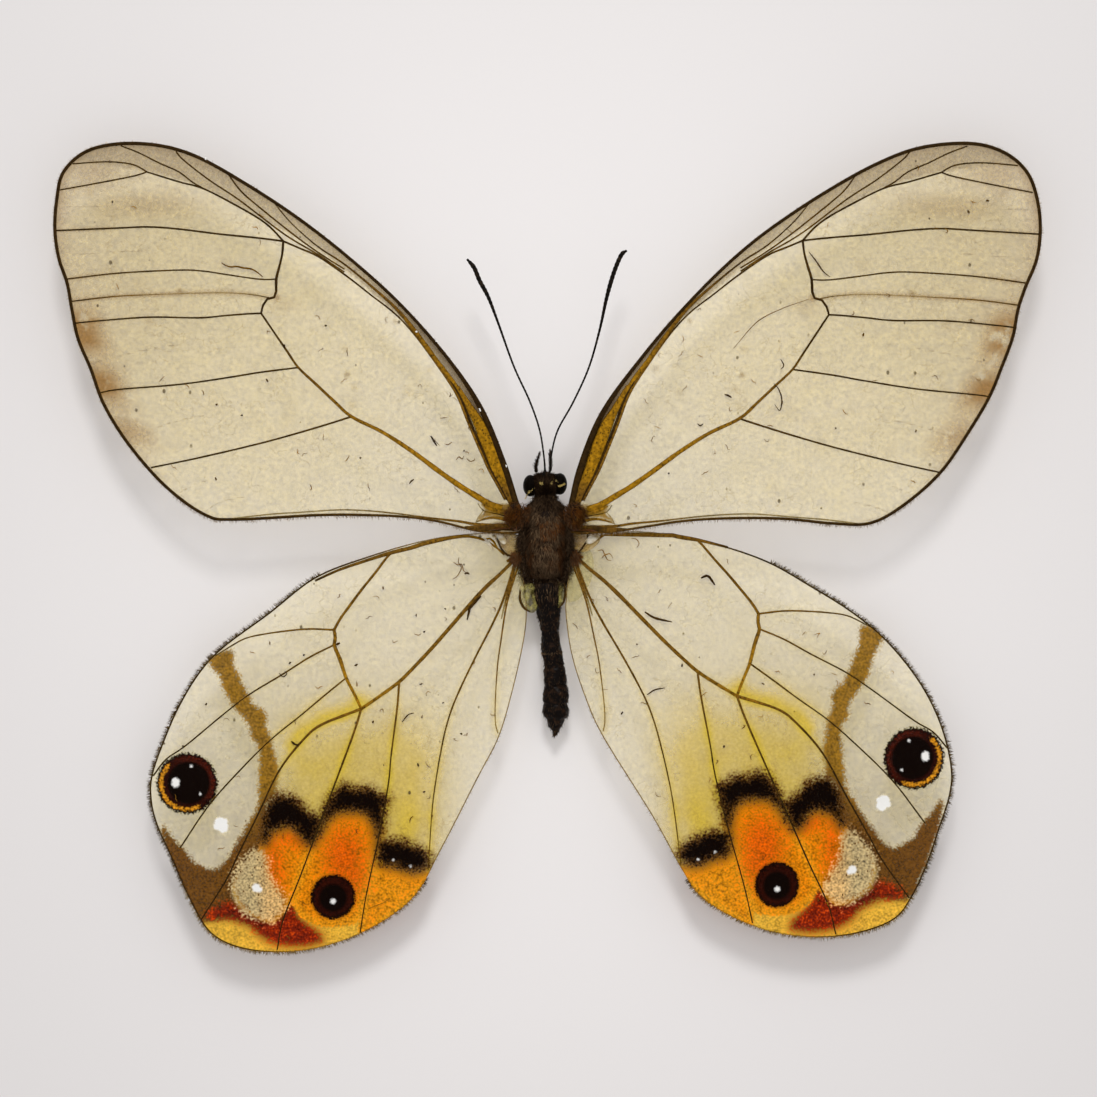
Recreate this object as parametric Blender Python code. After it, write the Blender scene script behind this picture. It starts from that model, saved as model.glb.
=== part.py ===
"""A spread clearwing butterfly, dried flat: body, head, legs and four veined wings.

World frame: +X to the specimen's right, +Y towards its head, +Z up. The origin is in the middle of
the flat underside of the thorax, on the surface that the specimen lies on. All the numbers in this
file are millimetres, and MM turns them into metres where a mesh or a curve is made.

A wing's outline and veins are given by (outward, forward) points from the body's middle line, as
they are seen from straight above. Both wings of a pair share one set of veins.
"""
import math

import bmesh
import bpy
from mathutils import Matrix, Vector
from mathutils.geometry import delaunay_2d_cdt

MM = 0.001

# Body
THORAX_CENTRE = (0.0, -0.25, 1.85)
THORAX_RADII = (1.55, 2.85, 2.10)
COLLAR_CENTRE = (0.0, 1.70, 2.10)
COLLAR_RADII = (1.25, 0.80, 1.15)
WAIST_CENTRE = (0.0, -1.95, 1.75)
WAIST_RADII = (1.38, 1.20, 1.30)
HEAD_CENTRE = (-0.05, 3.38, 2.20)
HEAD_RADII = (0.85, 0.80, 0.85)
EYE_RADII = (0.48, 0.72, 0.78)
EYE_CENTRES = {"left": (-1.02, 3.30, 2.25), "right": (0.96, 3.42, 2.25)}
EYE_SOCKET_GAP = 0.07
TEGULA_CENTRE = (2.10, 1.42, 3.62)
TEGULA_RADII = (0.56, 0.74, 0.20)

# Abdomen: where each of its rings meets the next, the radius there, and how far a ring swells
ABDOMEN_JOINTS = [
    (0.07, -3.35, 1.75, 0.90), (0.10, -4.20, 1.74, 0.92), (0.20, -5.30, 1.70, 0.77), (0.30, -6.50, 1.62, 0.61),
    (0.40, -7.70, 1.55, 0.58), (0.52, -8.75, 1.50, 0.62), (0.64, -9.75, 1.45, 0.70), (0.68, -10.60, 1.40, 0.84),
    (0.68, -11.75, 1.35, 0.80), (0.68, -12.60, 1.30, 0.48), (0.56, -13.55, 1.22, 0.08),
]
RING_SWELL = 0.07
ABDOMEN_FLATTENING = 0.88

# Wings
MEMBRANE = 0.12
LEADING_RIM = 0.13
RIDGE_HEIGHT = 0.75
EDGE_CLEARANCE = 0.14
EDGE_STEP = 1.8
VEIN_STEP = 3.1
MERGE_WITHIN = 0.03
FOREWING_ROOT_HEIGHT = 2.86
FOREWING_TIP_RISE = 0.55
HINDWING_ROOT_HEIGHT = 2.25
HINDWING_TIP_RISE = 0.35
WING_SPAN = 33.0
WING_CAMBER = 0.30

FOREWING_EDGE = {
    "left": [
        (1.50, 1.60), (1.77, 2.20), (2.67, 5.00), (4.20, 8.60), (6.53, 11.97), (9.70, 15.53), (13.03, 18.53),
        (16.37, 21.13), (19.70, 23.33), (23.03, 25.20), (25.70, 26.00), (28.50, 26.10), (30.70, 25.53),
        (32.17, 24.13), (32.60, 22.33), (32.73, 20.33), (32.47, 18.40), (31.90, 16.67), (31.60, 15.00),
        (31.17, 13.00), (30.33, 11.00), (29.40, 8.53), (27.67, 5.80), (25.23, 3.07), (22.63, 1.23),
        (20.63, 0.93), (15.03, 1.23), (11.70, 1.23), (9.03, 1.10), (7.03, 0.80), (4.90, 0.27),
        (3.70, 0.13), (1.60, 0.20),
    ],
    "right": [
        (1.46, 1.60), (1.60, 2.40), (2.10, 4.47), (3.10, 7.13), (4.23, 9.13), (6.10, 11.60), (8.37, 14.33),
        (11.17, 17.27), (13.70, 19.53), (16.37, 21.47), (19.10, 23.20), (21.77, 24.67), (24.43, 25.73),
        (27.10, 26.13), (29.23, 26.00), (30.97, 25.27), (32.17, 24.07), (32.77, 22.47), (33.01, 20.47),
        (32.77, 18.33), (31.97, 16.33), (31.50, 14.87), (31.17, 13.13), (30.43, 11.13), (29.63, 9.20),
        (28.43, 7.13), (26.37, 4.13), (23.90, 1.93), (21.63, 0.70), (19.10, 0.67), (16.10, 0.97),
        (13.43, 1.04), (10.77, 0.97), (8.77, 0.80), (6.77, 0.49), (4.10, 0.13), (1.56, 0.20),
    ],
}
LEADING_EDGE_POINTS = 14

HINDWING_EDGE = {
    "left": [
        (1.62, -0.20), (1.90, 0.02), (4.37, 0.13), (7.70, -0.27), (11.70, -1.37), (15.37, -2.80), (18.50, -5.20),
        (21.57, -7.47), (23.17, -9.20), (24.50, -11.40), (25.50, -13.67), (26.30, -16.00), (26.37, -17.67),
        (25.97, -19.33), (24.97, -21.53), (23.70, -24.40), (22.23, -26.67), (19.70, -27.70), (16.03, -27.70),
        (12.23, -26.53), (8.90, -24.27), (6.97, -21.00), (4.50, -16.20), (3.10, -13.47), (2.17, -10.33),
        (1.45, -7.10), (1.25, -5.20), (1.35, -3.67), (1.62, -2.00),
    ],
    "right": [
        (1.62, -0.20), (1.90, 0.05), (4.43, 0.23), (7.10, 0.20), (9.77, -0.23), (12.43, -0.87), (15.10, -1.87),
        (17.77, -3.40), (20.43, -5.07), (22.83, -7.07), (24.97, -9.73), (26.37, -12.47), (27.10, -15.27),
        (27.03, -17.27), (26.23, -19.80), (25.50, -21.93), (24.43, -24.20), (23.23, -25.67), (20.83, -26.57),
        (18.03, -26.84), (15.10, -26.47), (12.43, -25.47), (10.30, -24.07), (9.03, -22.20), (7.10, -18.73),
        (3.90, -13.60), (2.70, -11.00), (1.75, -8.07), (1.35, -5.40), (1.37, -4.07), (1.62, -1.60),
    ],
}

# Veins: radii spread evenly from root to tip, then the points of the middle line
FOREWING_VEINS = {
    "subcosta": ((0.34, 0.48, 0.50, 0.40, 0.22, 0.14, 0.12, 0.10, 0.09, 0.09), [
        (2.30, 2.50), (3.07, 4.33), (4.17, 6.47), (5.50, 9.00), (7.23, 11.73), (11.03, 15.93), (15.17, 19.20),
        (16.90, 20.73), (17.90, 21.90)]),
    "radius": ((0.15, 0.10), [
        (2.90, 2.90), (5.00, 7.25), (7.40, 11.60), (9.90, 14.45), (13.03, 17.07), (15.03, 18.47), (17.43, 19.53)]),
    "radius_1": ((0.09, 0.09), [(13.37, 17.67), (16.70, 19.93), (19.37, 22.07), (21.00, 23.90)]),
    "radius_2": ((0.09, 0.09), [(15.17, 18.67), (18.70, 21.07), (22.37, 23.60), (24.40, 25.50)]),
    "radius_4_5": ((0.10, 0.09), [(17.43, 19.53), (20.37, 21.80), (22.70, 23.00), (26.50, 24.13)]),
    "radius_3": ((0.09, 0.09), [(22.70, 23.00), (25.70, 24.73), (28.23, 25.70)]),
    "radius_4": ((0.09, 0.09), [(26.50, 24.13), (28.03, 24.73), (31.20, 24.67)]),
    "radius_5": ((0.09, 0.09), [(26.50, 24.13), (29.70, 23.40), (32.20, 22.93)]),
    "media_1": ((0.11, 0.09), [(17.43, 19.53), (21.70, 20.00), (26.37, 20.47), (32.50, 20.23)]),
    "media_2": ((0.09, 0.09), [(17.90, 17.00), (21.37, 17.33), (25.50, 17.60), (31.80, 17.00)]),
    "media_3": ((0.09, 0.09), [(18.17, 15.73), (21.70, 16.10), (26.37, 16.00), (31.40, 15.53)]),
    "cross": ((0.10, 0.10), [(17.43, 19.53), (17.90, 17.00), (18.10, 15.75), (18.90, 14.73)]),
    "cubitus": ((0.26, 0.13), [
        (2.90, 1.60), (4.50, 2.53), (7.03, 4.20), (12.90, 7.87), (16.43, 11.13), (18.90, 14.73)]),
    "cubitus_1": ((0.11, 0.09), [(18.90, 14.73), (23.03, 14.43), (27.70, 14.40), (31.20, 14.07)]),
    "cubitus_2": ((0.11, 0.09), [(16.43, 11.13), (21.03, 10.47), (29.60, 9.43)]),
    "cubitus_3": ((0.11, 0.09), [(12.90, 7.87), (19.03, 6.07), (23.03, 5.13), (26.40, 4.45)]),
    "anal": ((0.20, 0.09), [
        (2.20, 0.70), (4.70, 0.73), (7.70, 1.13), (11.70, 1.60), (16.37, 1.50), (21.30, 1.05)]),
}
HINDWING_VEINS = {
    "costa": ((0.17, 0.10), [
        (2.50, -1.20), (3.60, -0.60), (5.70, -0.30), (10.37, -1.15), (15.37, -3.00)]),
    "radius": ((0.14, 0.15), [(9.57, -0.93), (11.37, -2.53), (14.10, -6.33)]),
    "cross": ((0.16, 0.14), [(14.10, -6.33), (14.10, -7.33), (13.30, -9.53), (12.30, -11.60)]),
    "radius_end": ((0.10, 0.09), [(14.10, -6.33), (17.03, -6.37), (20.50, -7.05)]),
    "media_1": ((0.10, 0.09), [(14.10, -7.33), (19.70, -10.60), (24.03, -14.07), (26.00, -16.00)]),
    "media_2": ((0.10, 0.09), [(13.30, -9.53), (18.23, -13.57), (22.37, -17.93), (24.37, -20.87)]),
    "media_3": ((0.12, 0.09), [
        (12.30, -11.60), (15.50, -13.00), (17.77, -15.73), (20.50, -21.33), (22.80, -25.40)]),
    "cubitus": ((0.22, 0.16), [(2.40, -2.00), (4.90, -4.47), (8.83, -8.87), (12.30, -11.60)]),
    "cubitus_1": ((0.12, 0.09), [(12.30, -11.60), (15.03, -19.20), (17.60, -26.50)]),
    "cubitus_2": ((0.12, 0.09), [(9.77, -9.87), (10.50, -16.67), (12.20, -26.00)]),
    "anal_1": ((0.14, 0.09), [(2.10, -2.60), (4.70, -8.20), (6.90, -14.00), (7.80, -22.20)]),
    "anal_2": ((0.12, 0.09), [(1.90, -3.20), (2.97, -7.00), (3.37, -12.20)]),
}

# How a right wing lies beside its mirrored left one: both hinges, then the two rows of the stretch
RIGHT_FOREWING_LIE = ((2.10, 1.80), (1.95, 1.74), ((1.038, -0.043), (-0.019, 1.022)))
RIGHT_HINDWING_LIE = ((2.10, -1.67), (2.03, -1.45), ((0.990, -0.065), (0.077, 1.015)))

# Round limbs: (x, y, z, radius) along the middle line
ANTENNAE = {
    "left": [
        (-0.14, 3.98, 2.98, 0.09), (-0.04, 4.35, 3.12, 0.07), (-0.14, 5.50, 3.15, 0.06), (-0.42, 7.10, 3.20, 0.06),
        (-1.07, 8.95, 3.30, 0.06), (-2.10, 11.20, 3.40, 0.07), (-3.15, 14.10, 3.50, 0.08),
        (-3.80, 15.80, 3.55, 0.11), (-4.38, 16.90, 3.58, 0.13), (-4.74, 17.75, 3.60, 0.13),
        (-5.21, 18.32, 3.60, 0.05)],
    "right": [
        (0.18, 3.98, 2.98, 0.09), (0.31, 4.35, 3.12, 0.07), (0.42, 5.50, 3.15, 0.06), (0.83, 7.00, 3.20, 0.06),
        (1.85, 8.85, 3.30, 0.06), (2.87, 11.10, 3.40, 0.07), (3.58, 13.55, 3.50, 0.08),
        (4.05, 15.70, 3.55, 0.11), (4.50, 17.30, 3.58, 0.13), (5.01, 18.55, 3.60, 0.13), (5.40, 18.90, 3.60, 0.05)],
}
PALPS = {
    "left": [
        (-0.60, 4.22, 1.90, 0.13), (-0.66, 4.55, 2.10, 0.15), (-0.56, 4.95, 2.30, 0.12), (-0.40, 5.45, 2.42, 0.05)],
    "right": [
        (0.30, 4.28, 1.90, 0.13), (0.34, 4.65, 2.10, 0.15), (0.32, 5.15, 2.30, 0.13), (0.30, 5.67, 2.42, 0.05)],
}
FORELEG = [(0.50, 2.30, 0.90, 0.10), (0.62, 2.75, 0.72, 0.11), (0.55, 3.20, 0.80, 0.08), (0.42, 3.55, 1.00, 0.04)]
MIDDLE_LEG = [
    (1.30, 1.20, 0.72, 0.13), (1.40, 0.30, 0.48, 0.15), (1.38, -0.90, 0.26, 0.12), (1.28, -1.90, 0.15, 0.09),
    (1.15, -2.80, 0.10, 0.07), (1.05, -3.60, 0.08, 0.05)]
HIND_LEGS = {
    "left": [
        (-1.02, -1.75, 0.62, 0.12), (-1.08, -2.60, 0.60, 0.14), (-0.84, -3.50, 0.50, 0.11),
        (-0.46, -4.60, 0.26, 0.09), (-0.18, -5.70, 0.13, 0.07), (-0.02, -6.70, 0.09, 0.05)],
    "right": [
        (1.02, -1.75, 0.62, 0.12), (1.08, -2.60, 0.60, 0.14), (0.94, -3.50, 0.50, 0.11),
        (0.76, -4.60, 0.26, 0.09), (0.70, -5.70, 0.13, 0.07), (0.68, -6.70, 0.09, 0.05)],
}
TONGUE_CENTRE = (0.0, 3.98, 1.10)
TONGUE_RADII = (0.42, 0.13)
TONGUE_TURNS = 2.0
TONGUE_THICKNESS = 0.055

SIDES = {"left": -1, "right": 1}


def start_scene():
    """Removes what the scene holds and returns the collections for the pieces and the cutters."""
    for item in list(bpy.data.objects):
        bpy.data.objects.remove(item, do_unlink=True)
    pieces = bpy.data.collections.new("spread_butterfly")
    cutters = bpy.data.collections.new("cutters")
    bpy.context.scene.collection.children.link(pieces)
    bpy.context.scene.collection.children.link(cutters)
    return pieces, cutters


def make_material(name, colour, roughness, alpha=1.0):
    """A Principled material of one colour."""
    material = bpy.data.materials.new(name)
    material.use_nodes = True
    shader = material.node_tree.nodes["Principled BSDF"]
    shader.inputs["Base Color"].default_value = (*colour, 1.0)
    shader.inputs["Roughness"].default_value = roughness
    shader.inputs["Metallic"].default_value = 0.0
    shader.inputs["Alpha"].default_value = alpha
    return material


def add_object(name, mesh, collection, material=None):
    """Places a mesh in the collection under the node's name."""
    item = bpy.data.objects.new(name, mesh)
    collection.objects.link(item)
    if material:
        mesh.materials.clear()
        mesh.materials.append(material)
    return item


def ellipsoid(name, centre, radii, collection, material=None, segments=20, rings=12):
    """A ball primitive stretched to three radii about its centre."""
    mesh = bpy.data.meshes.new(name)
    ball = bmesh.new()
    bmesh.ops.create_uvsphere(ball, u_segments=segments, v_segments=rings, radius=1.0)
    place = Matrix.Translation(Vector(centre) * MM) @ Matrix.Diagonal((*(Vector(radii) * MM), 1.0))
    bmesh.ops.transform(ball, matrix=place, verts=ball.verts)
    ball.to_mesh(mesh)
    ball.free()
    mesh.shade_smooth()
    return add_object(name, mesh, collection, material)


def limb(name, points, collection, material, side_count=6, flattening=1.0):
    """A round limb through (x, y, z, radius) points, as a bevelled curve turned into one closed mesh."""
    curve = bpy.data.curves.new(name, "CURVE")
    curve.dimensions = "3D"
    curve.bevel_depth = MM
    curve.bevel_resolution = (side_count - 4) // 2
    curve.use_fill_caps = True
    spline = curve.splines.new("POLY")
    spline.points.add(len(points) - 1)
    for knot, (x, y, z, radius) in zip(spline.points, points):
        knot.co = (x * MM, y * MM, z * MM, 1.0)
        knot.radius = radius
    guide = bpy.data.objects.new(name + "_guide", curve)
    collection.objects.link(guide)
    depsgraph = bpy.context.evaluated_depsgraph_get()
    mesh = bpy.data.meshes.new_from_object(guide.evaluated_get(depsgraph))
    bpy.data.objects.remove(guide, do_unlink=True)
    solid = bmesh.new()
    solid.from_mesh(mesh)
    bmesh.ops.remove_doubles(solid, verts=solid.verts, dist=MM * 0.001)
    if flattening != 1.0:
        middle = points[len(points) // 2][2] * MM
        for vert in solid.verts:
            vert.co.z = middle + (vert.co.z - middle) * flattening
    bmesh.ops.recalc_face_normals(solid, faces=solid.faces)
    solid.to_mesh(mesh)
    solid.free()
    mesh.shade_smooth()
    return add_object(name, mesh, collection, material)


def union(target, others):
    """Joins other bodies to the target with Boolean unions, and keeps the result as its mesh."""
    for other in others:
        change = target.modifiers.new(other.name, "BOOLEAN")
        change.operation = "UNION"
        change.object = other
    settle(target)
    for other in others:
        bpy.data.objects.remove(other, do_unlink=True)


def settle(target):
    """Turns the modified shape into the object's own mesh."""
    depsgraph = bpy.context.evaluated_depsgraph_get()
    mesh = bpy.data.meshes.new_from_object(target.evaluated_get(depsgraph))
    target.modifiers.clear()
    target.data = mesh
    mesh.shade_smooth()


def cut(target, cutter):
    """Cuts one hidden body out of the target."""
    cutter.hide_render = True
    cutter.display_type = "WIRE"
    change = target.modifiers.new("cut_" + cutter.name, "BOOLEAN")
    change.operation = "DIFFERENCE"
    change.object = cutter


def smooth_path(points, step, closed=False):
    """A smooth curve through the points, with a sample about every step. Points may hold a radius."""
    knots = [Vector(point) for point in points]
    count = len(knots)
    if closed:
        before, after = knots[-1:], knots[:2]
        spans = count
    else:
        before, after = [knots[0] * 2 - knots[1]], [knots[-1] * 2 - knots[-2]]
        spans = count - 1
    knots = before + knots + after
    path = []
    for index in range(1, spans + 1):
        a, b, c, d = knots[index - 1:index + 3]
        samples = max(1, round((c - b).length / step))
        for sample in range(samples):
            t = sample / samples
            path.append(0.5 * (b * 2 + (c - a) * t + (a * 2 - b * 5 + c * 4 - d) * t * t
                               + (b * 3 - a - c * 3 + d) * t ** 3))
    if not closed:
        path.append(Vector(points[-1]))
    return path


def spread_radii(radii, count):
    """One radius for each of count points, from values spread evenly along the vein."""
    result = []
    for index in range(count):
        place = index / (count - 1) * (len(radii) - 1)
        lower = min(int(place), len(radii) - 2)
        result.append(radii[lower] + (radii[lower + 1] - radii[lower]) * (place - lower))
    return result


def distance_to(point, path, closed=False):
    """The distance from a point to a path, and the index and fraction of the nearest place on it."""
    best = (math.inf, 0, 0.0)
    spans = len(path) if closed else len(path) - 1
    for index in range(spans):
        start = path[index].xy
        along = path[(index + 1) % len(path)].xy - start
        share = max(0.0, min(1.0, (point - start).dot(along) / max(along.length_squared, 1e-9)))
        gap = (point - start - along * share).length
        if gap < best[0]:
            best = (gap, index, share)
    return best


def is_inside(point, edge):
    """Whether a plan point lies inside a closed edge."""
    inside = False
    for index, here in enumerate(edge):
        there = edge[index - 1]
        if (here.y > point.y) != (there.y > point.y):
            crossing = here.x + (point.y - here.y) / (there.y - here.y) * (there.x - here.x)
            if point.x < crossing:
                inside = not inside
    return inside


def leading_rim(edge_points, count):
    """The stout front edge as a vein, a little inside the outline."""
    path = []
    front = [Vector(point) for point in edge_points[1:count]]
    for index, here in enumerate(front):
        along = front[min(index + 1, len(front) - 1)] - front[max(index - 1, 0)]
        inward = Vector((along.y, -along.x)).normalized()
        path.append(here + inward * (LEADING_RIM + EDGE_CLEARANCE))
    return [tuple(point) for point in path]


def place_points(points, lie):
    """Plan points as they lie in a wing: unchanged in the left one, turned and stretched in the right."""
    if lie is None:
        return [Vector(point) for point in points]
    hinge_from, hinge_to, rows = lie
    placed = []
    for point in points:
        offset = Vector(point) - Vector(hinge_from)
        placed.append(Vector(hinge_to) + Vector((offset.dot(Vector(rows[0])), offset.dot(Vector(rows[1])))))
    return placed


def ridge_height(point, ribs):
    """How far the ridge of the nearest vein stands over the membrane at a plan point."""
    highest = 0.0
    for rib in ribs:
        gap, index, share = distance_to(point, rib)
        radius = rib[index].z + (rib[index + 1].z - rib[index].z) * share
        if gap < radius:
            highest = max(highest, RIDGE_HEIGHT * radius * math.sqrt(1.0 - (gap / radius) ** 2))
    return highest


def rib_lines(rib):
    """The lines that shape one vein in the mesh: its crest and its two feet, and shoulders if it is stout."""
    offsets = [-1.0, 0.0, 1.0]
    if max(knot.z for knot in rib) > 2 * LEADING_RIM:
        offsets = [-1.0, -0.6, 0.0, 0.6, 1.0]
    lines = []
    for offset in offsets:
        line = []
        for index, knot in enumerate(rib):
            along = rib[min(index + 1, len(rib) - 1)].xy - rib[max(index - 1, 0)].xy
            across = Vector((along.y, -along.x)).normalized()
            line.append(knot.xy + across * knot.z * offset)
        lines.append(line)
    return lines


def wing(name, side, edge_points, veins, lie, heights, collection, material):
    """One wing: a thin arched sheet inside its outline, with the veins standing up on both faces."""
    root_height, tip_rise = heights
    edge = smooth_path(edge_points, EDGE_STEP, closed=True)
    ribs = []
    for radii, points in veins:
        placed = place_points(points, lie)
        knots = [Vector((spot.x, spot.y, radius)) for spot, radius in zip(placed, spread_radii(radii, len(placed)))]
        ribs.append(smooth_path(knots, VEIN_STEP))
    rim = [Vector((*point, LEADING_RIM)) for point in leading_rim(edge_points, LEADING_EDGE_POINTS)]
    ribs.append(smooth_path(rim, VEIN_STEP))

    plan = list(edge)
    links = []
    for rib in ribs:
        for line in rib_lines(rib):
            previous = None
            for spot in line:
                kept = is_inside(spot, edge) and distance_to(spot, edge, closed=True)[0] > EDGE_CLEARANCE
                if kept:
                    plan.append(spot)
                    if previous is not None:
                        links.append((previous, len(plan) - 1))
                previous = len(plan) - 1 if kept else None
    outline = list(range(len(edge)))
    flat, _, faces, _, _, _ = delaunay_2d_cdt(plan, links, [outline], 1, MERGE_WITHIN)

    solid = bmesh.new()
    top = []
    bottom = []
    for spot in flat:
        share = max(0.0, spot.x) / WING_SPAN
        middle = root_height + tip_rise * share + WING_CAMBER * math.sin(math.pi * min(share, 1.0))
        half = MEMBRANE / 2 + ridge_height(spot, ribs)
        x = SIDES[side] * spot.x
        top.append(solid.verts.new(Vector((x, spot.y, middle + half)) * MM))
        bottom.append(solid.verts.new(Vector((x, spot.y, middle - half)) * MM))
    for face in faces:
        solid.faces.new([top[index] for index in face])
        solid.faces.new([bottom[index] for index in reversed(face)])
    sides = {}
    for face in faces:
        for start, end in zip(face, face[1:] + face[:1]):
            sides[(start, end)] = True
    for start, end in sides:
        if (end, start) not in sides:
            solid.faces.new([top[end], top[start], bottom[start], bottom[end]])
    loose = [vert for vert in solid.verts if not vert.link_faces]
    bmesh.ops.delete(solid, geom=loose, context="VERTS")
    bmesh.ops.recalc_face_normals(solid, faces=solid.faces)
    mesh = bpy.data.meshes.new(name)
    solid.to_mesh(mesh)
    solid.free()
    return add_object(name, mesh, collection, material)


def build_thorax(collection, cutters, material):
    """The thorax with its collar and waist, cut flat where it rests."""
    thorax = ellipsoid("thorax", THORAX_CENTRE, THORAX_RADII, collection, material, 24, 14)
    collar = ellipsoid("collar", COLLAR_CENTRE, COLLAR_RADII, collection, None, 16, 10)
    waist = ellipsoid("waist", WAIST_CENTRE, WAIST_RADII, collection, None, 16, 10)
    union(thorax, [collar, waist])
    thorax.name = "thorax"
    below = bpy.data.meshes.new("under_thorax")
    block = bmesh.new()
    bmesh.ops.create_cube(block, size=10 * MM)
    bmesh.ops.translate(block, vec=(0.0, 0.0, -5 * MM), verts=block.verts)
    block.to_mesh(below)
    block.free()
    cut(thorax, add_object("under_thorax", below, cutters))
    return thorax


def build_abdomen(collection, material):
    """The shrivelled abdomen: each ring swells a little between its joints."""
    points = []
    for start, end in zip(ABDOMEN_JOINTS, ABDOMEN_JOINTS[1:]):
        middle = [(a + b) / 2 for a, b in zip(start, end)]
        middle[3] += RING_SWELL
        points += [start, tuple(middle)]
    points.append(ABDOMEN_JOINTS[-1])
    return limb("abdomen", points, collection, material, 12, ABDOMEN_FLATTENING)


def build_head(collection, cutters, materials):
    """The head with a hollow on each side for an eye, and the two eyes."""
    head = ellipsoid("head", HEAD_CENTRE, HEAD_RADII, collection, materials["head"], 18, 12)
    for side, centre in EYE_CENTRES.items():
        ellipsoid("eye_" + side, centre, EYE_RADII, collection, materials["eye"], 16, 10)
        hollow = [radius + EYE_SOCKET_GAP for radius in EYE_RADII]
        cut(head, ellipsoid("eye_hollow_" + side, centre, hollow, cutters, None, 16, 10))
    return head


def build_tongue(collection, material):
    """The coiled tongue below the head."""
    outer, inner = TONGUE_RADII
    count = int(TONGUE_TURNS * 12)
    points = []
    for index in range(count + 1):
        share = index / count
        angle = math.radians(80) + share * TONGUE_TURNS * math.tau
        reach = outer + (inner - outer) * share
        points.append((TONGUE_CENTRE[0], TONGUE_CENTRE[1] - reach * math.cos(angle),
                       TONGUE_CENTRE[2] + reach * math.sin(angle), TONGUE_THICKNESS))
    return limb("proboscis", points, collection, material)


def main():
    """Builds every piece of the specimen."""
    pieces, cutters = start_scene()
    chitin = make_material("dark_chitin", (0.020, 0.013, 0.009), 0.75)
    membrane = make_material("wing_membrane", (0.56, 0.45, 0.26), 0.45)
    eye = make_material("dark_eye", (0.010, 0.008, 0.007), 0.25)
    fuzz = make_material("body_fuzz", (0.050, 0.032, 0.020), 0.90)

    build_thorax(pieces, cutters, fuzz)
    build_abdomen(pieces, chitin)
    build_head(pieces, cutters, {"head": fuzz, "eye": eye})
    build_tongue(pieces, chitin)
    fore_veins = list(FOREWING_VEINS.values())
    hind_veins = list(HINDWING_VEINS.values())
    lies = {"left": (None, None), "right": (RIGHT_FOREWING_LIE, RIGHT_HINDWING_LIE)}
    for side, sign in SIDES.items():
        fore_lie, hind_lie = lies[side]
        wing("forewing_" + side, side, FOREWING_EDGE[side], fore_veins, fore_lie,
             (FOREWING_ROOT_HEIGHT, FOREWING_TIP_RISE), pieces, membrane)
        wing("hindwing_" + side, side, HINDWING_EDGE[side], hind_veins, hind_lie,
             (HINDWING_ROOT_HEIGHT, HINDWING_TIP_RISE), pieces, membrane)
        tegula_centre = (sign * TEGULA_CENTRE[0], TEGULA_CENTRE[1], TEGULA_CENTRE[2])
        ellipsoid("tegula_" + side, tegula_centre, TEGULA_RADII, pieces, fuzz, 14, 8)
        limb("antenna_" + side, smooth_limb(ANTENNAE[side], 1.2), pieces, chitin)
        limb("palp_" + side, smooth_limb(PALPS[side], 0.3), pieces, fuzz, 8)
        for name, points in (("foreleg_", FORELEG), ("middle_leg_", MIDDLE_LEG)):
            mirrored = [(sign * x, y, z, radius) for x, y, z, radius in points]
            limb(name + side, smooth_limb(mirrored, 0.6), pieces, chitin)
        limb("hind_leg_" + side, smooth_limb(HIND_LEGS[side], 0.6), pieces, chitin)


def smooth_limb(points, step):
    """The points of a limb on one smooth curve, with their radii."""
    return [tuple(point) for point in smooth_path(points, step)]


main()
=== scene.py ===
"""The looks of a dried clearwing butterfly, spread flat and seen from straight above.

World frame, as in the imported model: +X to the specimen's right, +Y towards its head, +Z up, with the
origin under the thorax on the surface that it lies on. Every size here is in millimetres, and MM turns
it into metres where a mesh is made. A wing's points are (outward, forward) from the body's middle line.
"""

import logging
import math
from collections.abc import Sequence
from dataclasses import dataclass, field
from enum import Enum

import bmesh
import bpy
import numpy as np
from mathutils import Matrix, Vector, noise
from mathutils.geometry import delaunay_2d_cdt


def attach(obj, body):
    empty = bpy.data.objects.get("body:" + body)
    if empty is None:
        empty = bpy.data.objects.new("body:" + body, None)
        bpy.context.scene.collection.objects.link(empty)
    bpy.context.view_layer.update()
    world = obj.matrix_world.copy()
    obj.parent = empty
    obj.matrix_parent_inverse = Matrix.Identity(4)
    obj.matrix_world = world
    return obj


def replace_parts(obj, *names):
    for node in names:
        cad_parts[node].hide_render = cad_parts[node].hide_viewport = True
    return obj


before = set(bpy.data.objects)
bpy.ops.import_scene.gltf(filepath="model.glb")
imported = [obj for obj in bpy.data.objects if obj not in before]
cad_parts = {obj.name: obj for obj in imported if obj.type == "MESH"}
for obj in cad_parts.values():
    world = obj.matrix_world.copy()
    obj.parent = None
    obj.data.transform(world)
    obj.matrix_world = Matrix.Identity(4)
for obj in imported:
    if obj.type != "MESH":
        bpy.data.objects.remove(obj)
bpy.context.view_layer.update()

MM = 0.001
MM_PER_METRE = 1000.0
UP = np.array((0.0, 0.0, 1.0))

Array = np.ndarray
Socket = bpy.types.NodeSocket
Point = tuple[float, ...]
Colour = tuple[float, float, float]

log = logging.getLogger("specimen")


class Side(Enum):
    """One half of the specimen; the value is its sign along X."""

    LEFT = -1
    RIGHT = 1

    @property
    def word(self) -> str:
        """The side as it stands in the names of pieces."""
        return self.name.lower()


# Shapes in the plan


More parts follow.
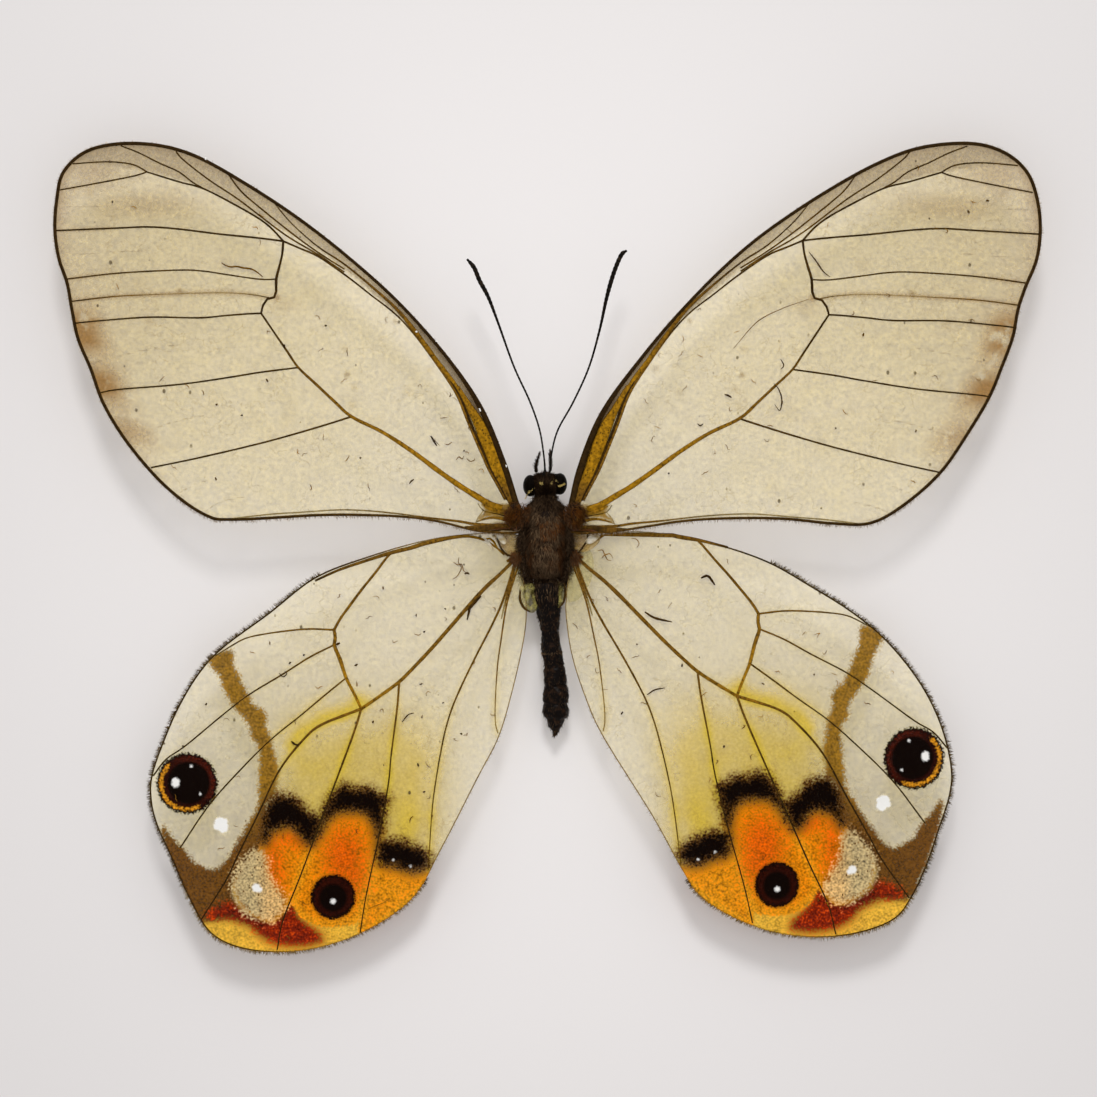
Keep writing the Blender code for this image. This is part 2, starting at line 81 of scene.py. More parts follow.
def smooth_path(points: Sequence[Point] | Array, step: float, closed: bool = False) -> Array:
    """A smooth curve through points that may carry more values than their place.

    Args:
        points: The knots, each with the same number of values.
        step: The distance between samples, in mm.
        closed: Whether the curve returns to its first knot.

    Returns:
        One row for each sample.
    """
    knots = np.asarray(points, dtype=float)
    if closed:
        knots = np.vstack([knots[-1:], knots, knots[:2]])
    else:
        knots = np.vstack([2 * knots[0] - knots[1], knots, 2 * knots[-1] - knots[-2]])
    spans = []
    for a, b, c, d in zip(knots, knots[1:], knots[2:], knots[3:]):
        count = max(1, round(float(np.linalg.norm((c - b)[:3])) / step))
        t = (np.arange(count) / count)[:, None]
        spans.append(0.5 * (2 * b + (c - a) * t + (2 * a - 5 * b + 4 * c - d) * t ** 2
                            + (3 * b - a - 3 * c + d) * t ** 3))
    if not closed:
        spans.append(knots[-2:-1])
    return np.vstack(spans)


def spread(values: Sequence[float], count: int) -> Array:
    """Values spread evenly over count places, with straight steps between them."""
    return np.interp(np.linspace(0, 1, count), np.linspace(0, 1, len(values)), values)


def gap_to_path(spots: Array, path: Array, closed: bool = False) -> tuple[Array, Array]:
    """How far each plan point is from a path.

    Args:
        spots: The plan points.
        path: The path's samples.
        closed: Whether the last sample joins the first.

    Returns:
        The distances in mm, and the nearest places as sample numbers with fractions.
    """
    ends = np.roll(path, -1, axis=0) if closed else path[1:]
    starts = path if closed else path[:-1]
    best = np.full(len(spots), np.inf)
    place = np.zeros(len(spots))
    for index, (start, end) in enumerate(zip(starts[:, :2], ends[:, :2])):
        along = end - start
        share = np.clip((spots - start) @ along / max(float(along @ along), 1e-12), 0, 1)
        gap = np.linalg.norm(spots - start - share[:, None] * along, axis=1)
        nearer = gap < best
        best[nearer] = gap[nearer]
        place[nearer] = index + share[nearer]
    return best, place


def depth_inside(spots: Array, outline: Array) -> Array:
    """How deep each plan point lies inside a closed outline.

    Args:
        spots: The plan points.
        outline: The outline's samples.

    Returns:
        The depths in mm, negative outside.
    """
    gap, _ = gap_to_path(spots, outline, closed=True)
    inside = np.zeros(len(spots), dtype=bool)
    for here, there in zip(outline, np.roll(outline, 1, axis=0)):
        if here[1] == there[1]:
            continue
        between = (here[1] > spots[:, 1]) != (there[1] > spots[:, 1])
        crossing = here[0] + (spots[:, 1] - here[1]) / (there[1] - here[1]) * (there[0] - here[0])
        inside ^= between & (spots[:, 0] < crossing)
    return np.where(inside, gap, -gap)


def hump(spots: Array, centre: Point, reach: Point) -> Array:
    """A soft round hill of height 1 over a plan point, with its reach outward and forward in mm."""
    offset = (spots - np.asarray(centre)) / np.asarray(reach)
    return np.exp(-np.sum(offset ** 2, axis=1))


def ramp(values: Array, low: float, high: float) -> Array:
    """A smooth climb from 0 at low to 1 at high."""
    share = np.clip((values - low) / (high - low), 0, 1)
    return share * share * (3 - 2 * share)


def ripple(spots: Array, size: float, seed: float) -> Array:
    """Smooth noise between about -1 and 1 over plan points, with hills of a size in mm."""
    return np.array([noise.noise(Vector((x / size, y / size, seed))) for x, y in spots[:, :2]])


# Meshes


def make_piece(name: str, points: Array, faces: list[Sequence[int]], values: dict[str, Array],
               material: bpy.types.Material) -> bpy.types.Object:
    """Makes one smooth piece that rides on the specimen.

    Args:
        name: The piece's name.
        points: The mesh's points, in mm.
        faces: The point numbers of each face.
        values: A number for each point, by the name that the finish reads.
        material: The finish.

    Returns:
        The new object.
    """
    mesh = bpy.data.meshes.new(name)
    mesh.from_pydata((np.asarray(points) * MM).tolist(), [], faces)
    for key, numbers in values.items():
        layer = mesh.attributes.new(key, "FLOAT", "POINT")
        layer.data.foreach_set("value", np.asarray(numbers, dtype=np.float32))
    mesh.materials.append(material)
    mesh.shade_smooth()
    mesh.update()
    piece = bpy.data.objects.new(name, mesh)
    bpy.context.scene.collection.objects.link(piece)
    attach(piece, "root")
    log.info("%s: %d faces", name, len(mesh.polygons))
    return piece


@dataclass
class Strands:
    """Round or flattened strands gathered into one mesh: veins, feelers, legs and fibres."""

    sides: int = 8
    points: list[Array] = field(default_factory=list)
    faces: list[Sequence[int]] = field(default_factory=list)
    values: dict[str, list[Array]] = field(default_factory=dict)
    count: int = 0

    def add(self, path: Array, radii: Array, flatness: float = 1.0, **values: Array | float) -> None:
        """Adds one closed strand.

        Args:
            path: Its middle line, (x, y, z) in mm.
            radii: Its radius at each sample.
            flatness: Its height over its width.
            **values: Numbers for the finish, one for each sample or one for all.
        """
        along = np.gradient(path, axis=0)
        along /= np.maximum(np.linalg.norm(along, axis=1, keepdims=True), 1e-9)
        across = np.cross(along, UP)
        upright = np.linalg.norm(across, axis=1) < 0.05
        across[upright] = (1.0, 0.0, 0.0)
        across /= np.linalg.norm(across, axis=1, keepdims=True)
        over = np.cross(across, along)
        turn = np.linspace(0, math.tau, self.sides, endpoint=False)
        ring = (np.cos(turn)[None, :, None] * across[:, None, :]
                + np.sin(turn)[None, :, None] * over[:, None, :] * flatness)
        self.points.append((path[:, None, :] + ring * np.asarray(radii)[:, None, None]).reshape(-1, 3))
        rows = len(path)
        for row in range(rows - 1):
            first = self.count + row * self.sides
            for corner in range(self.sides):
                after = (corner + 1) % self.sides
                self.faces.append((first + corner, first + after, first + self.sides + after,
                                   first + self.sides + corner))
        last = self.count + (rows - 1) * self.sides
        self.faces.append(tuple(range(self.count + self.sides - 1, self.count - 1, -1)))
        self.faces.append(tuple(range(last, last + self.sides)))
        self.count += rows * self.sides
        # The flank number is 1 at a strand's sides and 0 at its top and bottom; the vein finish paints shade
        # with it.
        self.values.setdefault("flank", []).append(np.tile(np.abs(np.cos(turn)), rows))
        for key, numbers in values.items():
            spread_out = np.broadcast_to(np.asarray(numbers, dtype=float), (rows,))
            self.values.setdefault(key, []).append(np.repeat(spread_out, self.sides))

    def piece(self, name: str, material: bpy.types.Material, slot: str) -> bpy.types.Object:
        """Makes the gathered strands into one piece."""
        values = {key: np.concatenate(numbers) for key, numbers in self.values.items()}
        return make_piece(name, np.vstack(self.points), self.faces, values, material)


@dataclass
class Fuzz:
    """Many fine hairs gathered into one mesh, each a bent three-sided spike."""

    points: list[Array] = field(default_factory=list)
    faces: list[Sequence[int]] = field(default_factory=list)
    tones: list[Array] = field(default_factory=list)
    reds: list[Array] = field(default_factory=list)
    count: int = 0

    SIDES = 3
    RINGS = 2

    def add(self, roots: Array, ways: Array, lengths: Array, radii: Array, bends: Array, tones: Array,
            reds: Array | float = 0.0) -> None:
        """Adds one hair for each root.

        Args:
            roots: Where the hairs start, in mm.
            ways: Their unit directions.
            lengths: Their lengths.
            radii: Their radii at the root.
            bends: How far each tip is carried aside, as a vector.
            tones: How pale each hair is, 0 to 1.
            reds: How rusty each hair is, 0 to 1.
        """
        if not len(roots):
            return
        across = np.cross(ways, UP)
        across[np.linalg.norm(across, axis=1) < 0.05] = (1.0, 0.0, 0.0)
        across /= np.linalg.norm(across, axis=1, keepdims=True)
        over = np.cross(across, ways)
        rows = []
        for ring in range(self.RINGS):
            share = ring / self.RINGS
            middle = roots + ways * (lengths * share)[:, None] + bends * share ** 2
            width = (radii * (1 - 0.55 * share))[:, None]
            for corner in range(self.SIDES):
                angle = math.tau * corner / self.SIDES
                rows.append(middle + (across * math.cos(angle) + over * math.sin(angle)) * width)
        rows.append(roots + ways * lengths[:, None] + bends)
        block = np.stack(rows, axis=1)
        size = block.shape[1]
        self.points.append(block.reshape(-1, 3))
        pattern = [tuple(range(self.SIDES - 1, -1, -1))]
        for ring in range(self.RINGS - 1):
            for corner in range(self.SIDES):
                first = ring * self.SIDES
                after = (corner + 1) % self.SIDES
                pattern.append((first + corner, first + after, first + self.SIDES + after,
                                first + self.SIDES + corner))
        last = (self.RINGS - 1) * self.SIDES
        for corner in range(self.SIDES):
            pattern.append((last + corner, last + (corner + 1) % self.SIDES, size - 1))
        for hair in range(len(roots)):
            start = self.count + hair * size
            self.faces.extend(tuple(start + number for number in face) for face in pattern)
        self.count += len(roots) * size
        self.tones.append(np.repeat(tones, size))
        self.reds.append(np.repeat(np.broadcast_to(reds, (len(roots),)), size))

    def piece(self, name: str, material: bpy.types.Material, slot: str,
              box: tuple[float, float] = (-1e9, 1e9)) -> bpy.types.Object:
        """Makes the gathered hairs into one piece.

        Args:
            name: The piece's name.
            material: The finish.
            slot: Not used.
            box: The lowest and highest height that a hair may reach.

        Returns:
            The new object.
        """
        points = np.vstack(self.points)
        points[:, 2] = np.clip(points[:, 2], *box)
        values = {"tone": np.concatenate(self.tones), "rust": np.concatenate(self.reds)}
        return make_piece(name, points, self.faces, values, material)


def ball(centre: Point, radii: Point, segments: int, rings: int) -> tuple[Array, list[Sequence[int]]]:
    """Makes a closed ball with three radii.

    Args:
        centre: Its middle, in mm.
        radii: Its radii along the three axes.
        segments: How many faces go round it.
        rings: How many rows of faces it has.

    Returns:
        Its points and its faces.
    """
    shape = bmesh.new()
    bmesh.ops.create_uvsphere(shape, u_segments=segments, v_segments=rings, radius=1.0)
    points = np.array([vert.co[:] for vert in shape.verts]) * np.asarray(radii) + np.asarray(centre)
    faces = [tuple(vert.index for vert in face.verts) for face in shape.faces]
    shape.free()
    return points, faces


def away_from(points: Array, middle: Array) -> Array:
    """The outward directions at points, each from its own place on a middle line."""
    ways = points - middle
    return ways / np.maximum(np.linalg.norm(ways, axis=1, keepdims=True), 1e-6)


def scatter_inside(edge: Array, grid: float, seed: int, extra: Array | None = None) -> Array:
    """Scatters plan points evenly inside a closed edge.

    Args:
        edge: The edge's samples.
        grid: The distance between the points, in mm.
        seed: The seed of the scatter.
        extra: More points, where the sheet needs finer faces.

    Returns:
        The points.
    """
    rng = np.random.default_rng(seed)
    low, high = edge.min(axis=0), edge.max(axis=0)
    spots = []
    for number, v in enumerate(np.arange(low[1], high[1], grid * 0.87)):
        u = np.arange(low[0] + grid * (number % 2) / 2, high[0], grid)
        spots.append(np.column_stack([u, np.full(len(u), v)]))
    spots = np.vstack(spots)
    spots += rng.uniform(-0.15, 0.15, spots.shape) * grid
    if extra is not None:
        spots = np.vstack([spots, extra])
    return spots[depth_inside(spots, edge) > grid * 0.5]


def triangulate(edge: Array, inner: Array) -> tuple[Array, list[Sequence[int]]]:
    """Fills a closed edge with triangles.

    Args:
        edge: The edge's samples.
        inner: The plan points inside it.

    Returns:
        The plan points and the triangles.
    """
    scatter = [Vector(spot) for spot in np.vstack([edge[:, :2], inner])]
    flat, _, faces, _, _, _ = delaunay_2d_cdt(scatter, [], [list(range(len(edge)))], 1, 0.001)
    return np.array([spot[:] for spot in flat]), [tuple(face) for face in faces]


def closed_sheet(top: Array, bottom: Array, faces: list[Sequence[int]],
                 mirrored: bool) -> tuple[Array, list[Sequence[int]]]:
    """A sheet with a top, a bottom and a wall along its edge.

    Args:
        top: The points of the top.
        bottom: The point below each of them.
        faces: The triangles, counterclockwise in the plan.
        mirrored: Whether the plan was mirrored when the points were placed.

    Returns:
        The points and the faces.
    """
    count = len(top)
    upper = [face[::-1] for face in faces] if mirrored else list(faces)
    edges = {(a, b) for face in upper for a, b in zip(face, face[1:] + face[:1])}
    skin = upper + [tuple(number + count for number in reversed(face)) for face in upper]
    skin += [(b, a, a + count, b + count) for a, b in edges if (b, a) not in edges]
    return np.vstack([top, bottom]), skin


def wrapped(node: str, voxel: float, inset: float) -> tuple[Array, Array, list[Sequence[int]]]:
    """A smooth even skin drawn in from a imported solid's surface.

    Args:
        node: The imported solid.
        voxel: The size of the skin's faces, in mm.
        inset: How far it is drawn in, in mm.

    Returns:
        The skin's points, its outward directions and its faces.
    """
    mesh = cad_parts[node].data.copy()
    mesh.transform(Matrix.Scale(MM_PER_METRE, 4))
    guide = bpy.data.objects.new(node + "_guide", mesh)
    bpy.context.scene.collection.objects.link(guide)
    remesh = guide.modifiers.new("skin", "REMESH")
    remesh.mode = "VOXEL"
    remesh.voxel_size = voxel
    soften = guide.modifiers.new("soften", "SMOOTH")
    soften.iterations = 6
    skin = bpy.data.meshes.new_from_object(guide.evaluated_get(bpy.context.evaluated_depsgraph_get()))
    bpy.data.objects.remove(guide, do_unlink=True)
    points = np.array([vert.co[:] for vert in skin.vertices])
    ways = np.array([vert.normal[:] for vert in skin.vertices])
    faces = [tuple(face.vertices) for face in skin.polygons]
    bpy.data.meshes.remove(skin)
    return points - ways * inset, ways, faces


# Finishes


@dataclass
class Bench:
    """Places shader nodes in one tree and wires them, so that a finish reads as a list of effects."""

    tree: bpy.types.NodeTree

    def node(self, kind: str, **settings: object) -> bpy.types.Node:
        """A new node with its settings.

        Args:
            kind: The kind of node.
            **settings: Its settings, by name.

        Returns:
            The node.
        """
        node = self.tree.nodes.new(kind)
        for name, value in settings.items():
            setattr(node, name, value)
        return node

    def feed(self, socket: Socket, value: object) -> None:
        """Wires a socket into another, or sets the other's own value.

        Args:
            socket: The socket that takes the value.
            value: Another socket, or a plain value.
        """
        if isinstance(value, bpy.types.NodeSocket):
            self.tree.links.new(value, socket)
        elif isinstance(value, tuple) and socket.type == "RGBA":
            socket.default_value = (*value, 1.0)
        else:
            socket.default_value = value

    def reading(self, name: str) -> Socket:
        """The number that the mesh carries under a name."""
        return self.node("ShaderNodeAttribute", attribute_type="GEOMETRY", attribute_name=name).outputs["Fac"]

    def place(self) -> Socket:
        """The place on the specimen, in mm.

        Returns:
            The place, as a socket.
        """
        scaled = self.node("ShaderNodeVectorMath", operation="SCALE")
        self.feed(scaled.inputs[0], self.node("ShaderNodeTexCoord").outputs["Object"])
        scaled.inputs["Scale"].default_value = MM_PER_METRE
        return scaled.outputs[0]

    def work(self, operation: str, *values: object) -> Socket:
        """One arithmetic step on numbers.

        Args:
            operation: The step, by Blender's name for it.
            *values: The numbers or sockets that it works on.

        Returns:
            The result.
        """
        node = self.node("ShaderNodeMath", operation=operation)
        for socket, value in zip(node.inputs, values):
            self.feed(socket, value)
        return node.outputs[0]

    def between(self, value: Socket, low: object, high: object, first: object = 0.0,
                second: object = 1.0) -> Socket:
        """A smooth change from first to second.

        Args:
            value: The number that is read.
            low: Where the change starts.
            high: Where it ends.
            first: The result up to low.
            second: The result from high on.

        Returns:
            The result.
        """
        node = self.node("ShaderNodeMapRange", interpolation_type="SMOOTHSTEP")
        for name, entry in (("Value", value), ("From Min", low), ("From Max", high), ("To Min", first),
                            ("To Max", second)):
            self.feed(node.inputs[name], entry)
        return node.outputs["Result"]

    def tint(self, share: object, first: object, second: object) -> Socket:
        """A colour between two colours.

        Args:
            share: How far it goes from the first to the second, 0 to 1.
            first: The first.
            second: The second.

        Returns:
            The colour.
        """
        node = self.node("ShaderNodeMix", data_type="RGBA")
        self.feed(node.inputs[0], share)
        self.feed(node.inputs[6], first)
        self.feed(node.inputs[7], second)
        return node.outputs[2]

    def shade(self, colour: object, tone: Socket) -> Socket:
        """A colour made lighter or darker by a number round 1.

        Args:
            colour: The colour.
            tone: How light it becomes.

        Returns:
            The new colour.
        """
        node = self.node("ShaderNodeVectorMath", operation="SCALE")
        self.feed(node.inputs[0], colour)
        self.feed(node.inputs["Scale"], tone)
        return node.outputs[0]

    def weigh(self, share: object, first: object, second: object) -> Socket:
        """A number between two numbers.

        Args:
            share: How far it goes from the first to the second, 0 to 1.
            first: The first.
            second: The second.

        Returns:
            The number.
        """
        node = self.node("ShaderNodeMix", data_type="FLOAT")
        self.feed(node.inputs[0], share)
        self.feed(node.inputs[2], first)
        self.feed(node.inputs[3], second)
        return node.outputs[0]

    def noise(self, scale: object, detail: float) -> Socket:
        """Soft noise with so many hills in a mm.

        Args:
            scale: How many hills there are in a mm.
            detail: How many finer layers it has.

        Returns:
            The noise, 0 to 1.
        """
        node = self.node("ShaderNodeTexNoise")
        self.feed(node.inputs["Vector"], self.place())
        self.feed(node.inputs["Scale"], scale)
        node.inputs["Detail"].default_value = detail
        return node.outputs["Fac"]

    def effect(self, group: bpy.types.NodeTree, **values: object) -> Socket:
        """The first result of a shared effect, with its own values.

        Args:
            group: The effect's node group.
            **values: The group's inputs, by name.

        Returns:
            The result.
        """
        node = self.node("ShaderNodeGroup", node_tree=group)
        for name, value in values.items():
            self.feed(node.inputs[name], value)
        return node.outputs[0]


def start_effect(name: str, inputs: dict[str, float], output: str) -> tuple[Bench, dict[str, Socket], Socket]:
    """Starts a node group for an effect that several finishes share.

    Args:
        name: The group's name.
        inputs: Each input number with its usual value.
        output: The name of its result.

    Returns:
        The bench of the group, the inputs to read and the output to feed.
    """
    group = bpy.data.node_groups.new(name, "ShaderNodeTree")
    for key, value in inputs.items():
        socket = group.interface.new_socket(name=key, in_out="INPUT", socket_type="NodeSocketFloat")
        socket.default_value = value
    group.interface.new_socket(name=output, in_out="OUTPUT", socket_type="NodeSocketFloat")
    bench = Bench(group)
    entries = bench.node("NodeGroupInput").outputs
    result = bench.node("NodeGroupOutput").inputs[output]
    return bench, {key: entries[key] for key in inputs}, result


def make_grain() -> bpy.types.NodeTree:
    """Makes the group for fine grain: a tone round 1 that flickers over the surface.

    Returns:
        The node group.
    """
    bench, entry, result = start_effect("fine_grain", {"Fineness": 8.0, "Strength": 0.1}, "Tone")
    fine = bench.noise(entry["Fineness"], 1.0)
    swing = bench.work("MULTIPLY", bench.work("SUBTRACT", fine, 0.5), 2.0)
    bench.feed(result, bench.work("MULTIPLY_ADD", swing, entry["Strength"], 1.0))
    return bench.tree


def make_flicker() -> bpy.types.NodeTree:
    """Makes the group for scales: a number round 0 that flickers fast, with slower swings under it.

    Returns:
        The node group.
    """
    bench, entry, result = start_effect("scale_flicker", {"Fineness": 7.0}, "Swing")
    coarse = bench.noise(bench.work("MULTIPLY", entry["Fineness"], 0.28), 1.0)
    fine = bench.noise(entry["Fineness"], 0.5)
    bench.feed(result, bench.work("SUBTRACT", bench.work("MULTIPLY_ADD", fine, 2.4, coarse), 1.7))
    return bench.tree


def make_scale_edge() -> bpy.types.NodeTree:
    """Makes the group for the edge of a marking: a depth in mm broken up into scales, as a mask.

    Returns:
        The node group.
    """
    bench, entry, result = start_effect(
        "scale_edge", {"Depth": 0.0, "Ragged": 0.15, "Soft": 0.06, "Swing": 0.0}, "Mask")
    depth = bench.work("MULTIPLY_ADD", entry["Swing"], entry["Ragged"], entry["Depth"])
    bench.feed(result, bench.between(depth, bench.work("MULTIPLY", entry["Soft"], -1.0), entry["Soft"]))
    return bench.tree


def make_specks() -> bpy.types.NodeTree:
    """Makes the group for sparse small specks of dust and loose scales, as a mask.

    Returns:
        The node group.
    """
    bench, entry, result = start_effect("specks", {"Per Mm": 1.0, "Size": 0.1, "Share": 0.5}, "Mask")
    cells = bench.node("ShaderNodeTexVoronoi", feature="F1")
    warp = bench.node("ShaderNodeVectorMath", operation="MULTIPLY")
    bench.feed(warp.inputs[0], bench.place())
    warp.inputs[1].default_value = (1.0, 0.75, 1.0)
    bench.feed(cells.inputs["Vector"], warp.outputs[0])
    bench.feed(cells.inputs["Scale"], entry["Per Mm"])
    lot = bench.node("ShaderNodeSeparateColor")
    bench.feed(lot.inputs[0], cells.outputs["Color"])
    chosen = bench.work("LESS_THAN", lot.outputs[0], entry["Share"])
    size = bench.work("MULTIPLY", entry["Size"], bench.work("ADD", lot.outputs[1], 0.35))
    spot = bench.between(cells.outputs["Distance"], bench.work("MULTIPLY", size, 0.5), size, 1.0, 0.0)
    bench.feed(result, bench.work("MULTIPLY", spot, chosen))
    return bench.tree


GRAIN = make_grain()
FLICKER = make_flicker()
SCALE_EDGE = make_scale_edge()
SPECKS = make_specks()


def start_finish(name: str, roughness: float,
                 specular: float = 0.05) -> tuple[bpy.types.Material, Bench, bpy.types.Node]:
    """Starts a finish.

    Args:
        name: The material's name.
        roughness: Its roughness where nothing else sets it.
        specular: Its specular level.

    Returns:
        The material, its bench and its Principled shader.
    """
    material = bpy.data.materials.new(name)
    material.use_nodes = True
    shader = material.node_tree.nodes["Principled BSDF"]
    shader.inputs["Roughness"].default_value = roughness
    shader.inputs["Specular IOR Level"].default_value = specular
    return material, Bench(material.node_tree), shader


def add_bump(bench: Bench, shader: bpy.types.Node, height: Socket, depth: float,
             strength: float = 1.0) -> None:
    """Gives a finish its relief.

    Args:
        bench: The material's bench.
        shader: Its Principled shader.
        height: The relief, from 0 to 1.
        depth: What 1 stands for, in mm.
        strength: How much of the relief shows.
    """
    bump = bench.node("ShaderNodeBump")
    bump.inputs["Strength"].default_value = strength
    bump.inputs["Distance"].default_value = depth * MM
    bench.feed(bump.inputs["Height"], height)
    bench.feed(shader.inputs["Normal"], bump.outputs["Normal"])


@dataclass
class Coats:
    """The colour and opacity of a wing while its layers are laid on."""

    bench: Bench
    colour: Socket
    density: Socket
    flicker: Socket | float = 0.0

    def edge(self, depth: Socket, ragged: float, soft: float) -> Socket:
        """The mask of a marking from the depth inside it, with its edge broken into scales."""
        return self.bench.effect(SCALE_EDGE, Depth=depth, Ragged=ragged, Soft=soft, Swing=self.flicker)

    def lay(self, mask: object, colour: object, density: object) -> None:
        """Lays one layer where the mask says."""
        self.colour = self.bench.tint(mask, self.colour, colour)
        self.density = self.bench.weigh(mask, self.density, density)

    def granular(self, colour: object, strength: float) -> Socket:
        """A colour that flickers from scale to scale."""
        return self.bench.shade(colour, self.bench.work("MULTIPLY_ADD", self.flicker, strength, 1.0))

    def finish(self, shader: bpy.types.Node) -> None:
        """Feeds the shader. The sheet is crossed twice, so each face holds its share of the opacity.

        Args:
            shader: The Principled shader.
        """
        bench = self.bench
        bench.feed(shader.inputs["Base Color"], self.colour)
        clear = bench.work("MAXIMUM", bench.work("SUBTRACT", 1.0, self.density), 0.0)
        bench.feed(shader.inputs["Alpha"], bench.work("SUBTRACT", 1.0, bench.work("SQRT", clear)))


@dataclass(frozen=True)
class MembraneFinish:
    """What the clear parts of all four wings share: a straw film with grain, specks and stains."""

    clear: Colour = (0.81, 0.67, 0.3)
    clear_density: float = 0.44
    pale: Colour = (0.84, 0.73, 0.4)
    pale_density: float = 0.36
    stain: Colour = (0.27, 0.155, 0.03)
    speck: Colour = (0.05, 0.025, 0.008)
    # The colour of the painted shade along the fold lines.
    crease: Colour = (0.24, 0.16, 0.07)

    def start(self, name: str) -> tuple[bpy.types.Material, bpy.types.Node, Coats]:
        """Starts a wing's finish with its clear film.

        Args:
            name: The material's name.

        Returns:
            The material, its shader and the coats to lay more on.
        """
        material, bench, shader = start_finish(name, 0.5, 0.02)
        flicker = bench.effect(FLICKER, Fineness=7.0)
        film = bench.tint(bench.reading("pale"), self.clear, self.pale)
        film = bench.shade(film, bench.effect(GRAIN, Fineness=4.5, Strength=0.62))
        density = bench.weigh(bench.reading("pale"), self.clear_density, self.pale_density)
        density = bench.work("MULTIPLY", density, bench.effect(GRAIN, Fineness=0.8, Strength=0.2))
        return material, shader, Coats(bench, film, density, flicker)

    def weather(self, coats: Coats) -> None:
        """Lays the stains and specks that age has left, and a painted shade along the fold lines.

        Args:
            coats: The coats laid so far.
        """
        bench = coats.bench
        wander = bench.work("ABSOLUTE", bench.work("SUBTRACT", bench.noise(0.9, 3.0), 0.5))
        thread = bench.between(wander, 0.0, 0.02, 1.0, 0.0)
        patch = bench.between(bench.noise(0.3, 1.0), 0.46, 0.58)
        coats.lay(bench.work("MULTIPLY", bench.work("MULTIPLY", thread, patch), 0.32), self.stain, 0.88)
        puddle = bench.between(bench.noise(0.45, 2.0), 0.56, 0.7)
        coats.lay(bench.work("MULTIPLY", puddle, 0.1), self.stain, 0.75)
        coats.lay(bench.reading("stain"), self.stain, 0.85)
        # Painted shade: a dark crease colour along the fold lines, where a fold would fall into shade.
        fold = coats.edge(bench.reading("fold"), 0.02, 0.05)
        coats.lay(bench.work("MULTIPLY", fold, 0.6), self.crease, 0.8)
        specks = bench.effect(SPECKS, **{"Per Mm": 1.1, "Size": 0.13, "Share": 0.3})
        coats.lay(bench.work("MULTIPLY", specks, 0.85), self.speck, 0.97)

    def relief(self, coats: Coats, shader: bpy.types.Node) -> None:
        """Gives the film its fine wrinkles."""
        add_bump(coats.bench, shader, coats.bench.noise(2.2, 1.0), 0.05, 0.6)


@dataclass(frozen=True)
class ForewingFinish(MembraneFinish):
    """A forewing: smoky front strip and tip, ochre patches on the outer margin, golden root plates."""

    smoke: Colour = (0.33, 0.2, 0.085)
    strip: Colour = (0.1, 0.056, 0.015)
    ochre: Colour = (0.36, 0.19, 0.045)
    margin: Colour = (0.045, 0.024, 0.008)
    root: Colour = (0.3, 0.165, 0.015)
    plate: Colour = (0.085, 0.026, 0.003)

    def build(self) -> bpy.types.Material:
        """Makes the material.

        Returns:
            The material.
        """
        material, shader, coats = self.start("forewing_film")
        bench = coats.bench
        scales = bench.effect(GRAIN, Fineness=7.0, Strength=0.35)
        coats.lay(bench.reading("smoke"), bench.shade(self.smoke, scales), 0.93)
        coats.lay(bench.reading("strip"), bench.shade(self.strip, scales), 0.95)
        patchy = bench.between(bench.noise(0.8, 3.0), 0.26, 0.46)
        ochre = bench.work("MULTIPLY", bench.reading("ochre"), patchy)
        coats.lay(ochre, bench.shade(self.ochre, scales), 0.93)
        coats.lay(bench.reading("root"), bench.shade(self.root, scales), 0.94)
        coats.lay(bench.reading("plate"), bench.shade(self.plate, scales), 0.97)
        self.weather(coats)
        edge = coats.edge(bench.work("SUBTRACT", 0.1, bench.reading("margin")), 0.03, 0.05)
        coats.lay(bench.work("MULTIPLY", edge, 0.9), self.margin, 0.95)
        coats.finish(shader)
        self.relief(coats, shader)
        return material


